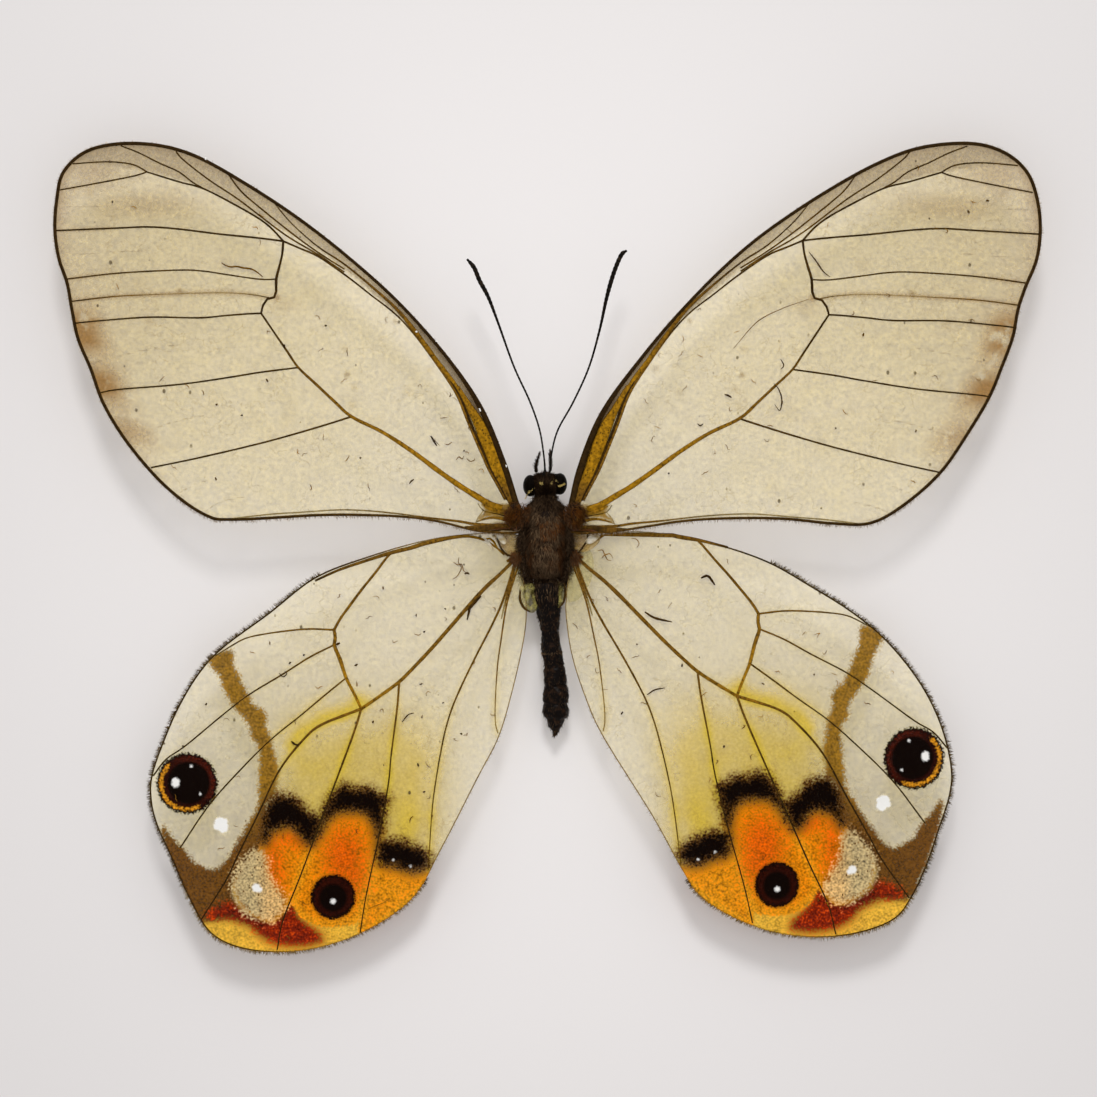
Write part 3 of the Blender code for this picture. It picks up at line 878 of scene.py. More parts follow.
@dataclass(frozen=True)
class HindwingFinish(MembraneFinish):
    """A hindwing: yellow wash, brown band, black and orange patches, and two eyespots with white pupils."""

    clear: Colour = (0.79, 0.63, 0.23)
    pale: Colour = (0.82, 0.7, 0.34)
    wash: Colour = (0.72, 0.52, 0.035)
    band: Colour = (0.27, 0.135, 0.01)
    shade_brown: Colour = (0.135, 0.052, 0.004)
    black: Colour = (0.0035, 0.001, 0.0003)
    orange: Colour = (0.72, 0.225, 0.002)
    ember: Colour = (0.68, 0.07, 0.001)
    blush: Colour = (0.22, 0.014, 0.001)
    soot: Colour = (0.085, 0.009, 0.002)
    amber: Colour = (0.73, 0.33, 0.01)
    straw: Colour = (0.76, 0.43, 0.04)
    window: Colour = (0.54, 0.41, 0.19)
    flushed_window: Colour = (0.7, 0.44, 0.16)
    gold: Colour = (0.52, 0.21, 0.01)
    rust: Colour = (0.022, 0.0025, 0.0006)
    dried_red: Colour = (0.05, 0.006, 0.002)
    white: Colour = (0.92, 0.91, 0.88)

    def build(self) -> bpy.types.Material:
        """Makes the material.

        Returns:
            The material.
        """
        material, shader, coats = self.start("hindwing_film")
        bench = coats.bench
        grain = bench.effect(GRAIN, Fineness=6.0, Strength=0.25)
        coats.lay(bench.reading("wash"), bench.shade(self.wash, grain), 0.88)
        self.weather(coats)

        def marking(name: str, ragged: float, soft: float) -> Socket:
            """The mask of one marking."""
            return coats.edge(bench.reading(name), ragged, soft)

        def depth(name: str, more: float) -> Socket:
            """How deep a point lies inside a marking that is grown by so many mm."""
            return bench.work("ADD", bench.reading(name), more)

        band = bench.tint(bench.reading("dusk"), self.band, self.shade_brown)
        base = bench.tint(bench.reading("warm"), self.straw, self.orange)
        coats.lay(coats.edge(depth("base", 0.42), 0.2, 0.2), coats.granular(base, 0.55), 0.985)
        coats.lay(coats.edge(depth("band", 0.08), 0.24, 0.22), coats.granular(band, 0.7), 0.98)
        mottle = bench.between(coats.flicker, 0.0, 0.9)
        blush = bench.tint(bench.work("MULTIPLY", mottle, 0.4), self.blush, self.ember)
        blush = bench.tint(bench.reading("soot"), blush, self.soot)
        coats.lay(coats.edge(depth("blush", 0.22), 0.34, 0.36), coats.granular(blush, 0.9), 0.99)
        flame = bench.tint(bench.reading("sun"), self.orange, self.amber)
        glow = bench.work("MULTIPLY", coats.edge(bench.reading("ember"), 0.9, 1.0), 0.75)
        flame = bench.tint(glow, flame, self.ember)
        flame = bench.tint(bench.work("MULTIPLY", mottle, 0.3), flame, self.ember)
        coats.lay(coats.edge(depth("lobe", 0.12), 0.14, 0.1), coats.granular(flame, 0.75), 0.99)
        window = bench.tint(bench.reading("flush"), self.window, self.flushed_window)
        coats.lay(marking("glass", 0.5, 0.3), coats.granular(window, 0.9), 0.9)
        spots = bench.effect(SPECKS, **{"Per Mm": 5.0, "Size": 0.3, "Share": 0.42})
        coats.lay(bench.work("MULTIPLY", spots, marking("glass", 0.5, 0.3)), self.shade_brown, 0.97)
        coats.lay(coats.edge(depth("patch", 0.34), 0.42, 0.42), coats.granular(self.shade_brown, 1.0), 0.96)
        coats.lay(coats.edge(depth("patch", -0.08), 0.62, 0.34), self.black, 0.997)
        ring = coats.granular(bench.tint(bench.reading("glow"), self.rust, self.dried_red), 0.9)
        coats.lay(marking("spot", 0.16, 0.1), self.black, 0.997)
        coats.lay(coats.edge(depth("spot", -0.2), 0.12, 0.12), ring, 0.995)
        coats.lay(marking("gold", 0.1, 0.08), coats.granular(self.gold, 0.9), 0.995)
        coats.lay(marking("disc", 0.1, 0.12), self.black, 0.998)
        coats.lay(marking("dot", 0.06, 0.09), self.white, 0.97)
        coats.finish(shader)
        self.relief(coats, shader)
        return material


@dataclass(frozen=True)
class VeinFinish:
    """Dried veins, golden and grainy at the root and dark brown towards the margin, with painted shade on
    their sides.
    """

    golden: Colour = (0.31, 0.15, 0.005)
    brown: Colour = (0.15, 0.072, 0.008)
    dark: Colour = (0.026, 0.013, 0.003)

    def build(self) -> bpy.types.Material:
        """Makes the material.

        Returns:
            The material.
        """
        material, bench, shader = start_finish("vein_chitin", 0.55, 0.03)
        tone = bench.reading("tone")
        colour = bench.tint(bench.between(tone, 0.0, 0.5), self.golden, self.brown)
        colour = bench.tint(bench.between(tone, 0.5, 1.0), colour, self.dark)
        colour = bench.shade(colour, bench.effect(GRAIN, Fineness=5.0, Strength=0.95))
        specks = bench.effect(SPECKS, **{"Per Mm": 8.0, "Size": 0.5, "Share": 0.5})
        colour = bench.tint(bench.work("MULTIPLY", specks, 0.75), colour, self.dark)
        # Painted shade: each vein is darker on its sides than on its top, as if lit from above.
        colour = bench.tint(bench.between(bench.reading("flank"), 0.66, 1.0, 0.0, 0.85), colour, self.dark)
        bench.feed(shader.inputs["Base Color"], colour)
        add_bump(bench, shader, bench.noise(9.0, 3.0), 0.03, 0.5)
        return material


@dataclass(frozen=True)
class HairFinish:
    """Hair and scales: each hair has its own tone, from dark to pale, and some are rusty."""

    name: str
    dark: Colour
    pale: Colour
    rusty: Colour
    roughness: float = 0.75

    def build(self) -> bpy.types.Material:
        """Makes the material.

        Returns:
            The material.
        """
        material, bench, shader = start_finish(self.name, self.roughness, 0.03)
        colour = bench.tint(bench.reading("tone"), self.dark, self.pale)
        colour = bench.tint(bench.reading("rust"), colour, self.rusty)
        bench.feed(shader.inputs["Base Color"],
                   bench.shade(colour, bench.effect(GRAIN, Fineness=4.0, Strength=0.35)))
        return material


@dataclass(frozen=True)
class ChitinFinish:
    """Dry dark body shell with a dusty, pitted surface."""

    name: str
    dark: Colour
    worn: Colour
    roughness: float
    fineness: float
    relief: float

    def build(self) -> bpy.types.Material:
        """Makes the material.

        Returns:
            The material.
        """
        material, bench, shader = start_finish(self.name, self.roughness, 0.06)
        worn = bench.between(bench.noise(self.fineness, 5.0), 0.48, 0.68)
        colour = bench.tint(worn, self.dark, self.worn)
        bench.feed(shader.inputs["Base Color"],
                   bench.shade(colour, bench.effect(GRAIN, Fineness=9.0, Strength=0.5)))
        bench.feed(shader.inputs["Roughness"], bench.weigh(worn, self.roughness - 0.15, self.roughness + 0.1))
        add_bump(bench, shader, bench.noise(self.fineness * 1.6, 5.0), self.relief)
        return material


@dataclass(frozen=True)
class EyeFinish:
    """A black compound eye: fine facets under a dull gloss, with a painted sheen that lightens the middle of
    each facet.
    """

    colour: Colour = (0.0016, 0.0009, 0.0004)
    facet_painted_sheen: Colour = (0.005, 0.0025, 0.0012)

    def build(self) -> bpy.types.Material:
        """Makes the material.

        Returns:
            The material.
        """
        material, bench, shader = start_finish("compound_eye", 0.38, 0.02)
        cells = bench.node("ShaderNodeTexVoronoi", feature="F1")
        bench.feed(cells.inputs["Vector"], bench.place())
        cells.inputs["Scale"].default_value = 16.0
        # Painted sheen: the middle of each facet is a little lighter than its edge.
        bench.feed(shader.inputs["Base Color"],
                   bench.tint(bench.between(cells.outputs["Distance"], 0.2, 0.6), self.facet_painted_sheen, self.colour))
        add_bump(bench, shader, bench.between(cells.outputs["Distance"], 0.0, 0.6, 1.0, 0.0), 0.012)
        return material


@dataclass(frozen=True)
class FlapFinish:
    """A small folded film at the wing roots, from clear straw to dried green."""

    name: str
    colour: Colour
    worn: Colour
    density: float

    def build(self) -> bpy.types.Material:
        """Makes the material.

        Returns:
            The material.
        """
        material, bench, shader = start_finish(self.name, 0.3, 0.12)
        mottled = bench.between(bench.noise(2.2, 4.0), 0.35, 0.65)
        colour = bench.shade(bench.tint(mottled, self.colour, self.worn),
                             bench.effect(GRAIN, Fineness=7.0, Strength=0.2))
        density = bench.work("MULTIPLY", bench.effect(GRAIN, Fineness=3.0, Strength=0.25), self.density)
        coats = Coats(bench, colour, density)
        coats.finish(shader)
        add_bump(bench, shader, bench.noise(3.0, 4.0), 0.12)
        return material


@dataclass(frozen=True)
class FloorFinish:
    """The plain pale surface that the specimen lies on, with painted shade that darkens its colour from the
    middle towards the corners.
    """

    colour: Colour = (0.837, 0.81, 0.805)
    # How dark the painted shade makes the floor's colour far from the middle, as a share of it.
    corner: float = 0.86
    depth_share: float = 0.82

    def build(self) -> bpy.types.Material:
        """Makes the material.

        Returns:
            The material.
        """
        material, bench, shader = start_finish("pale_card", 0.85, 0.05)
        reach = bench.node("ShaderNodeVectorMath", operation="LENGTH")
        oval = bench.node("ShaderNodeVectorMath", operation="MULTIPLY")
        bench.feed(oval.inputs[0], bench.place())
        oval.inputs[1].default_value = (1.0, self.depth_share, 1.0)
        bench.feed(reach.inputs[0], oval.outputs[0])
        # Painted shade: the floor's colour falls off from the middle to the corners, in place of light
        # falling off.
        painted_falloff = bench.between(reach.outputs["Value"], 8.0, 56.0, 1.0, self.corner)
        bench.feed(shader.inputs["Base Color"], bench.shade(self.colour, painted_falloff))
        return material


# Wings


@dataclass(frozen=True)
class Vein:
    """One vein: radii and tones spread evenly from root to tip, and the points of its middle line."""

    radii: tuple[float, ...]
    tones: tuple[float, ...]
    points: tuple[Point, ...]
    flatness: float = 0.7


@dataclass(frozen=True)
class Lie:
    """How a wing lies beside the left one of its pair: both hinges and the two rows of its stretch."""

    hinge_from: Point = (0.0, 0.0)
    hinge_to: Point = (0.0, 0.0)
    rows: tuple[Point, Point] = ((1.0, 0.0), (0.0, 1.0))

    def place(self, points: Sequence[Point] | Array) -> Array:
        """Points of the left plan as they lie in this wing. Values after the first two are kept.

        Args:
            points: The points, in mm.

        Returns:
            The moved points.
        """
        points = np.asarray(points, dtype=float)
        moved = (points[:, :2] - self.hinge_from) @ np.asarray(self.rows).T + self.hinge_to
        return np.column_stack([moved, points[:, 2:]])

    def undo(self, spots: Array) -> Array:
        """Points of this wing as they lie in the left plan."""
        return (spots - self.hinge_to) @ np.linalg.inv(np.asarray(self.rows)).T + self.hinge_from


@dataclass(frozen=True)
class Hairline:
    """The hair along one stretch of a wing's edge."""

    length: float
    radius: float
    tone: float
    per_mm: float


LEFT_LIE = Lie()
RIGHT_FOREWING_LIE = Lie((2.1, 1.8), (1.95, 1.74), ((1.038, -0.043), (-0.019, 1.022)))
RIGHT_HINDWING_LIE = Lie((2.1, -1.67), (2.03, -1.45), ((0.99, -0.065), (0.077, 1.015)))

WING_SPAN = 33.0
WING_CAMBER = 0.3
FILM = 0.05

FOREWING_EDGE = {
    Side.LEFT: (
        (1.5, 1.6), (1.77, 2.2), (2.67, 5.0), (4.2, 8.6), (6.53, 11.97), (9.7, 15.53), (13.03, 18.53),
        (16.37, 21.13), (19.7, 23.33), (23.03, 25.2), (25.7, 26.0), (28.5, 26.1), (30.7, 25.53),
        (32.17, 24.13), (32.6, 22.33), (32.73, 20.33), (32.47, 18.4), (31.9, 16.67), (31.6, 15.0),
        (31.17, 13.0), (30.33, 11.0), (29.4, 8.53), (27.67, 5.8), (25.23, 3.07), (22.63, 1.23), (20.63, 0.93),
        (15.03, 1.23), (11.7, 1.23), (9.03, 1.1), (7.03, 0.8), (4.9, 0.27), (3.7, 0.13), (1.6, 0.2),
    ),
    Side.RIGHT: (
        (1.46, 1.6), (1.6, 2.4), (2.1, 4.47), (3.1, 7.13), (4.23, 9.13), (6.1, 11.6), (8.37, 14.33),
        (11.17, 17.27), (13.7, 19.53), (16.37, 21.47), (19.1, 23.2), (21.77, 24.67), (24.43, 25.73),
        (27.1, 26.13), (29.23, 26.0), (30.97, 25.27), (32.17, 24.07), (32.77, 22.47), (33.01, 20.47),
        (32.77, 18.33), (31.97, 16.33), (31.5, 14.87), (31.17, 13.13), (30.43, 11.13), (29.63, 9.2),
        (28.43, 7.13), (26.37, 4.13), (23.9, 1.93), (21.63, 0.7), (19.1, 0.67), (16.1, 0.97), (13.43, 1.04),
        (10.77, 0.97), (8.77, 0.8), (6.77, 0.49), (4.1, 0.13), (1.56, 0.2),
    ),
}
HINDWING_EDGE = {
    Side.LEFT: (
        (1.62, -0.2), (1.9, 0.02), (4.37, 0.13), (7.7, -0.27), (11.7, -1.37), (15.37, -2.8), (18.5, -5.2),
        (21.57, -7.47), (23.17, -9.2), (24.5, -11.4), (25.5, -13.67), (26.3, -16.0), (26.37, -17.67),
        (25.97, -19.33), (24.97, -21.53), (23.7, -24.4), (22.23, -26.67), (19.7, -27.7), (16.03, -27.7),
        (12.23, -26.53), (8.9, -24.27), (6.97, -21.0), (4.5, -16.2), (3.1, -13.47), (2.17, -10.33),
        (1.45, -7.1), (1.25, -5.2), (1.35, -3.67), (1.62, -2.0),
    ),
    Side.RIGHT: (
        (1.62, -0.2), (1.9, 0.05), (4.43, 0.23), (7.1, 0.2), (9.77, -0.23), (12.43, -0.87), (15.1, -1.87),
        (17.77, -3.4), (20.43, -5.07), (22.83, -7.07), (24.97, -9.73), (26.37, -12.47), (27.1, -15.27),
        (27.03, -17.27), (26.23, -19.8), (25.5, -21.93), (24.43, -24.2), (23.23, -25.67), (20.83, -26.57),
        (18.03, -26.84), (15.1, -26.47), (12.43, -25.47), (10.3, -24.07), (9.03, -22.2), (7.1, -18.73),
        (3.9, -13.6), (2.7, -11.0), (1.75, -8.07), (1.35, -5.4), (1.37, -4.07), (1.62, -1.6),
    ),
}

FOREWING_VEINS = {
    "wedge": Vein((0.22, 0.36, 0.45, 0.48, 0.42, 0.26, 0.12), (0.75, 0.25, 0.0, 0.0, 0.0, 0.1, 0.3), (
        (2.2, 2.0), (2.62, 3.1), (3.18, 4.33), (3.8, 5.9), (4.44, 7.4), (5.1, 8.55), (5.85, 9.9)), 0.35),
    "subcosta": Vein((0.1, 0.15, 0.16, 0.14, 0.1, 0.07, 0.06, 0.05, 0.05),
                     (0.2, 0.1, 0.25, 0.35, 0.6, 0.8, 0.85, 0.9, 0.9), (
        (5.1, 8.35), (5.95, 9.9), (7.16, 11.5), (8.6, 13.45), (9.83, 14.95), (11.3, 16.3), (13.37, 18.0),
        (15.17, 19.2), (16.9, 20.73), (18.03, 22.07)), 0.7),
    "radius": Vein((0.09, 0.09, 0.1, 0.08, 0.06, 0.06, 0.07, 0.07),
                   (0.65, 0.35, 0.35, 0.45, 0.85, 0.9, 0.8, 0.85), (
        (2.68, 2.35), (3.22, 3.35), (3.76, 4.33), (4.46, 5.9), (5.1, 7.4), (5.93, 9.4), (7.3, 11.45),
        (8.77, 13.4), (10.05, 14.75), (11.6, 15.95), (13.03, 17.07), (15.03, 18.47), (16.37, 19.07),
        (17.43, 19.53))),
    "radius_shade": Vein((0.07, 0.09, 0.1, 0.07, 0.05), (0.9, 0.9, 0.9, 0.85, 0.7), (
        (2.55, 2.35), (3.07, 3.35), (3.62, 4.33), (4.32, 5.9), (4.96, 7.4), (5.78, 9.4), (7.1, 11.45),
        (8.6, 13.4)), 1.0),
    "radius_1": Vein((0.06, 0.06), (0.7, 0.9), (
        (13.37, 17.67), (15.03, 18.73), (16.7, 19.93), (19.37, 22.07), (20.37, 23.0), (21.23, 24.2))),
    "radius_2": Vein((0.06, 0.06), (0.7, 0.9), (
        (13.37, 17.47), (15.17, 18.67), (17.37, 20.0), (20.37, 22.27), (22.37, 23.6), (24.23, 25.07),
        (24.57, 25.6))),
    "radius_4_5": Vein((0.075, 0.06), (0.9, 0.95), (
        (17.43, 19.53), (18.1, 20.27), (18.9, 20.93), (20.37, 21.8), (22.7, 23.0), (24.37, 23.47),
        (26.5, 24.13))),
    "radius_3": Vein((0.06, 0.055), (0.9, 0.9), (
        (22.7, 23.0), (23.5, 23.47), (24.37, 24.13), (25.7, 24.73), (27.03, 25.4), (28.23, 25.87))),
    "radius_4": Vein((0.06, 0.055), (0.9, 0.9), (
        (26.5, 24.13), (27.17, 24.53), (28.03, 24.73), (29.37, 24.8), (31.43, 24.67))),
    "radius_5": Vein((0.06, 0.055), (0.9, 0.9), (
        (26.5, 24.13), (27.3, 23.87), (29.7, 23.4), (32.3, 22.93))),
    "media_1": Vein((0.07, 0.065), (0.9, 0.95), (
        (17.43, 19.53), (19.03, 19.73), (21.7, 20.0), (24.37, 20.33), (26.37, 20.47), (28.37, 20.4),
        (32.57, 20.23))),
    "media_2": Vein((0.055, 0.06), (0.85, 0.85), (
        (17.9, 17.0), (19.03, 17.0), (21.37, 17.33), (22.7, 17.53), (24.37, 17.6), (28.37, 17.4),
        (31.9, 17.0))),
    "media_3": Vein((0.045, 0.035, 0.035, 0.05, 0.055), (0.85, 0.5, 0.4, 0.6, 0.9), (
        (18.17, 15.73), (19.7, 16.0), (21.7, 16.1), (24.37, 16.03), (28.37, 15.87), (31.5, 15.53))),
    "cross": Vein((0.085, 0.08, 0.1, 0.09, 0.07), (0.95, 0.9, 0.95), (
        (17.43, 19.53), (17.5, 18.67), (17.7, 17.8), (17.9, 17.0), (17.9, 16.2), (18.03, 15.8), (18.5, 15.67),
        (18.77, 15.27), (18.9, 14.73))),
    "cubitus": Vein((0.22, 0.19, 0.15, 0.12, 0.1, 0.08, 0.07), (0.15, 0.1, 0.15, 0.25, 0.4, 0.8, 0.95), (
        (2.9, 1.78), (3.7, 2.05), (4.5, 2.53), (5.7, 3.27), (7.03, 4.2), (9.03, 5.67), (10.9, 6.87),
        (12.9, 7.87), (14.03, 8.87), (15.37, 10.13), (16.43, 11.13), (17.17, 12.2), (18.9, 14.73)), 0.6),
    "cubitus_1": Vein((0.065, 0.06), (0.9, 0.95), (
        (18.9, 14.73), (19.7, 14.7), (21.37, 14.57), (23.03, 14.43), (26.37, 14.47), (29.7, 14.23),
        (31.3, 14.07))),
    "cubitus_2": Vein((0.065, 0.06), (0.9, 0.95), (
        (16.43, 11.13), (19.03, 10.8), (21.03, 10.47), (24.37, 10.0), (28.37, 9.67), (29.7, 9.43))),
    "cubitus_3": Vein((0.07, 0.06), (0.8, 0.95), (
        (12.9, 7.87), (14.37, 7.4), (16.37, 6.8), (19.03, 6.07), (23.03, 5.13), (26.57, 4.4))),
    "anal": Vein((0.12, 0.06, 0.05, 0.05), (0.45, 0.65, 0.75, 0.7), (
        (2.5, 0.6), (4.7, 0.73), (5.7, 0.9), (7.7, 1.13), (9.7, 1.4), (11.7, 1.6), (13.7, 1.67), (16.37, 1.5),
        (18.37, 1.37), (21.57, 1.0)), 0.5),
    "cubitus_root": Vein((0.06, 0.14, 0.2, 0.16), (0.3, 0.15, 0.3, 0.8), (
        (4.25, 2.05), (3.7, 1.75), (3.1, 1.62), (2.3, 1.45)), 0.4),
    "plate_front": Vein((0.03, 0.05, 0.06, 0.08), (0.85, 0.95, 0.9, 1.0), (
        (4.5, 2.1), (4.13, 1.62), (3.3, 1.42), (2.1, 1.15)), 0.6),
    "plate_outer": Vein((0.03, 0.04, 0.03), (0.55, 0.5, 0.6), (
        (4.15, 1.6), (4.45, 1.22), (4.66, 0.8)), 0.6),
    "plate_rear": Vein((0.05, 0.09, 0.12, 0.14), (0.5, 0.35, 0.35, 0.6), (
        (4.62, 0.88), (4.05, 1.07), (3.45, 1.17), (2.8, 1.07), (2.2, 0.9)), 0.5),
    "anal_plate": Vein((0.05, 0.2, 0.22, 0.14, 0.1), (0.75, 0.7, 0.8, 0.75, 0.9), (
        (5.4, 0.55), (4.6, 0.47), (4.0, 0.45), (3.2, 0.62), (2.3, 0.55)), 0.5),
    "anal_shade": Vein((0.03, 0.06, 0.07, 0.06), (0.9, 1.0, 1.0, 1.0), (
        (5.3, 0.38), (4.3, 0.22), (3.6, 0.24), (2.9, 0.36), (2.1, 0.32)), 0.6),
}
HINDWING_VEINS = {
    "costa": Vein((0.05, 0.1, 0.15, 0.13, 0.1, 0.08), (0.45, 0.35, 0.4, 0.45, 0.6, 0.85), (
        (2.5, -1.42), (3.2, -0.9), (4.12, -0.33), (5.18, -0.08), (6.4, -0.2), (8.03, -0.55), (9.03, -0.87),
        (10.37, -1.2), (11.7, -1.62), (13.7, -2.3), (15.37, -3.05))),
    "radius": Vein((0.08, 0.09, 0.1), (0.55, 0.5, 0.35), (
        (9.57, -0.93), (10.37, -1.27), (11.37, -2.53), (12.23, -3.6), (13.03, -4.67), (13.7, -5.6),
        (14.1, -6.33))),
    "cross": Vein((0.11, 0.14, 0.11, 0.11), (0.35, 0.25, 0.15, 0.1), (
        (14.1, -6.33), (14.03, -6.87), (14.1, -7.33), (13.7, -8.33), (13.3, -9.53), (12.9, -10.33),
        (12.57, -11.0), (12.3, -11.6)), 0.5),
    "radius_end": Vein((0.07, 0.045), (0.4, 0.9), (
        (14.1, -6.33), (15.7, -6.27), (17.03, -6.37), (18.7, -6.6), (20.03, -6.9), (21.17, -7.53),
        (22.03, -8.07))),
    "media_1": Vein((0.065, 0.055, 0.055), (0.6, 0.95, 1.0), (
        (14.1, -7.33), (15.7, -8.13), (17.5, -9.27), (19.7, -10.6), (21.37, -11.87), (24.03, -14.07),
        (25.3, -14.95), (26.17, -16.07))),
    "media_2": Vein((0.065, 0.055, 0.055), (0.7, 0.95, 1.0), (
        (13.3, -9.53), (14.7, -10.67), (16.37, -12.07), (18.23, -13.57), (20.03, -15.33), (22.37, -17.93),
        (24.37, -20.87))),
    "media_3": Vein((0.11, 0.085, 0.07, 0.065, 0.06), (0.3, 0.7, 0.95, 1.0, 1.0), (
        (12.3, -11.6), (13.7, -12.13), (14.7, -12.53), (15.5, -13.0), (16.17, -13.67), (17.03, -14.67),
        (17.77, -15.73), (18.37, -16.87), (19.03, -18.33), (20.5, -21.33), (21.37, -23.13), (22.97, -25.67))),
    "cubitus": Vein((0.12, 0.14, 0.13, 0.12, 0.12), (0.6, 0.45, 0.4, 0.35, 0.2), (
        (2.17, -1.73), (3.03, -2.6), (3.9, -3.4), (4.9, -4.47), (6.23, -6.0), (7.63, -7.6), (8.83, -8.87),
        (9.77, -9.8), (11.03, -10.73), (12.3, -11.6)), 0.5),
    "cubitus_1": Vein((0.09, 0.07, 0.065, 0.06), (0.5, 0.9, 1.0, 1.0), (
        (12.3, -11.6), (12.77, -13.13), (13.9, -16.2), (15.03, -19.2), (16.37, -22.8), (17.5, -25.67),
        (17.9, -27.67))),
    "cubitus_2": Vein((0.08, 0.06, 0.06, 0.055), (0.5, 0.85, 1.0, 1.0), (
        (9.77, -9.87), (9.9, -11.53), (10.3, -14.67), (10.5, -16.67), (11.1, -20.0), (11.97, -24.07),
        (12.37, -26.53))),
    "anal_1": Vein((0.09, 0.07, 0.055, 0.045), (0.55, 0.65, 0.8, 0.7), (
        (2.03, -1.8), (2.83, -4.33), (3.57, -6.0), (4.7, -8.2), (5.7, -10.27), (6.37, -11.93), (6.9, -14.0),
        (7.5, -17.67), (7.77, -21.33), (7.83, -22.67))),
    "anal_2": Vein((0.08, 0.05, 0.04), (0.4, 0.6, 0.5), (
        (1.83, -2.07), (2.57, -4.53), (2.97, -7.0), (3.23, -9.0), (3.37, -12.2), (3.1, -13.53))),
    "humeral": Vein((0.05, 0.05, 0.06), (0.95, 1.0, 0.95), (
        (3.23, -0.02), (3.17, -0.4), (2.98, -0.87), (2.7, -1.2), (2.3, -1.42))),
    "humeral_pale": Vein((0.06, 0.07, 0.05), (0.25, 0.1, 0.35), (
        (4.05, -0.3), (3.72, -0.22), (3.45, -0.45), (3.25, -0.85), (2.75, -1.35))),
    "fold_root": Vein((0.05, 0.09, 0.1, 0.07, 0.04), (0.7, 0.55, 0.55, 0.6, 0.7), (
        (1.95, -1.7), (2.15, -2.6), (2.45, -3.6), (2.72, -4.6), (2.95, -5.6)), 0.4),
    "root_knot": Vein((0.08, 0.16, 0.2, 0.16), (0.5, 0.6, 0.7, 0.85), (
        (2.6, -1.75), (2.3, -1.65), (1.95, -1.6), (1.65, -1.9)), 0.7),
}

# Markings, drawn in the plan of the left wings
STRIP_INNER_LINE = (
    (3.0, 4.3), (5.2, 8.0), (7.5, 12.0), (11.0, 15.6), (15.0, 18.8), (18.9, 20.95), (22.7, 23.0),
    (26.5, 24.1), (31.3, 24.8),
)
ROOT_PLATES = (
    ((4.4, 2.25), (4.12, 1.6), (4.45, 1.25), (4.62, 0.96), (4.35, 0.95), (4.0, 1.12), (3.45, 1.22),
     (2.82, 1.14), (2.41, 0.92), (1.7, 0.9), (1.7, 2.1), (2.6, 2.1), (3.6, 2.1)),
)
ANAL_PLATE = (
    (5.0, 0.58), (4.2, 0.66), (3.4, 0.78), (2.3, 0.82), (1.7, 0.8), (1.7, 0.24), (2.6, 0.26), (3.5, 0.22),
    (4.4, 0.3),
)
# The fold lines, along which the finish paints shade as a dark crease.
FOREWING_FOLDS = (
    ((32.03, 21.8), (29.03, 21.87)),
    ((32.03, 18.6), (26.37, 18.93)),
    ((30.3, 11.33), (29.03, 11.73), (26.37, 12.33), (24.37, 12.67)),
    ((27.7, 6.33), (26.37, 6.93), (24.37, 7.6), (22.7, 7.93)),
    ((24.17, 2.87), (23.37, 3.33), (22.37, 3.67)),
    ((22.57, 1.6), (21.57, 2.2), (20.03, 2.53)),
)
FOREWING_BLOTS = (
    (30.3, 22.7, 0.28, 0.4), (24.3, 16.2, 0.2, 0.9), (26.37, 14.27, 0.35, 0.4), (13.17, 10.67, 0.17, 0.9),
    (13.37, 12.4, 0.28, 0.35), (12.7, 9.8, 0.24, 0.4), (12.9, 8.67, 0.3, 0.35), (9.17, 9.53, 0.4, 0.3),
    (7.7, 11.0, 0.3, 0.35), (9.97, 14.2, 0.15, 0.9), (21.2, 18.0, 0.5, 0.25), (18.0, 6.2, 0.6, 0.2),
)
BROWN_BAND = (
    (20.97, -7.67), (20.83, -8.67), (20.37, -9.67), (19.83, -10.67), (19.5, -11.33), (18.77, -11.8),
    (18.63, -12.33), (18.7, -12.8), (18.37, -13.47), (18.17, -14.33), (17.9, -15.67), (17.97, -16.67),
    (18.03, -17.47), (18.6, -17.9), (18.6, -20.53), (19.17, -21.13), (20.37, -22.53), (20.9, -23.67),
    (20.6, -24.9), (21.6, -25.6), (23.03, -25.67), (23.83, -24.33), (24.63, -22.67), (25.5, -20.33),
    (25.5, -19.47), (24.9, -20.2), (24.23, -20.87), (23.83, -21.4), (23.37, -21.93), (22.7, -22.2),
    (22.1, -22.33), (21.57, -22.07), (21.03, -21.33), (20.57, -20.53), (20.03, -19.67), (19.57, -18.87),
    (19.17, -18.07), (19.1, -17.0), (19.03, -15.33), (19.1, -14.2), (19.57, -13.53), (19.7, -12.87),
    (20.03, -12.27), (20.83, -11.4), (21.3, -10.47), (21.7, -9.47), (22.43, -8.27),
)
BLACK_PATCHES = (
    ((18.03, -17.47), (17.03, -17.53), (16.37, -18.0), (15.7, -18.6), (15.03, -18.87), (15.17, -19.53),
     (15.57, -20.53), (16.03, -20.33), (16.57, -19.67), (17.03, -19.4), (17.7, -19.53), (18.37, -19.87),
     (18.8, -20.53), (18.7, -18.4)),
    ((14.37, -17.67), (14.03, -17.13), (13.37, -16.73), (12.7, -17.0), (11.83, -16.93), (11.37, -17.2),
     (10.7, -17.47), (10.77, -18.33), (10.97, -19.67), (11.17, -20.2), (11.37, -19.33), (11.83, -18.67),
     (12.5, -18.4), (13.37, -18.4), (14.03, -18.53), (14.7, -19.13), (15.17, -20.0), (15.03, -19.0)),
    ((11.1, -20.47), (10.37, -20.47), (9.7, -20.47), (9.03, -20.73), (8.37, -21.0), (7.83, -21.47),
     (7.83, -22.0), (8.37, -22.33), (8.9, -22.4), (9.5, -22.27), (9.97, -22.07), (10.5, -22.0),
     (11.03, -21.8), (11.1, -21.33)),
)
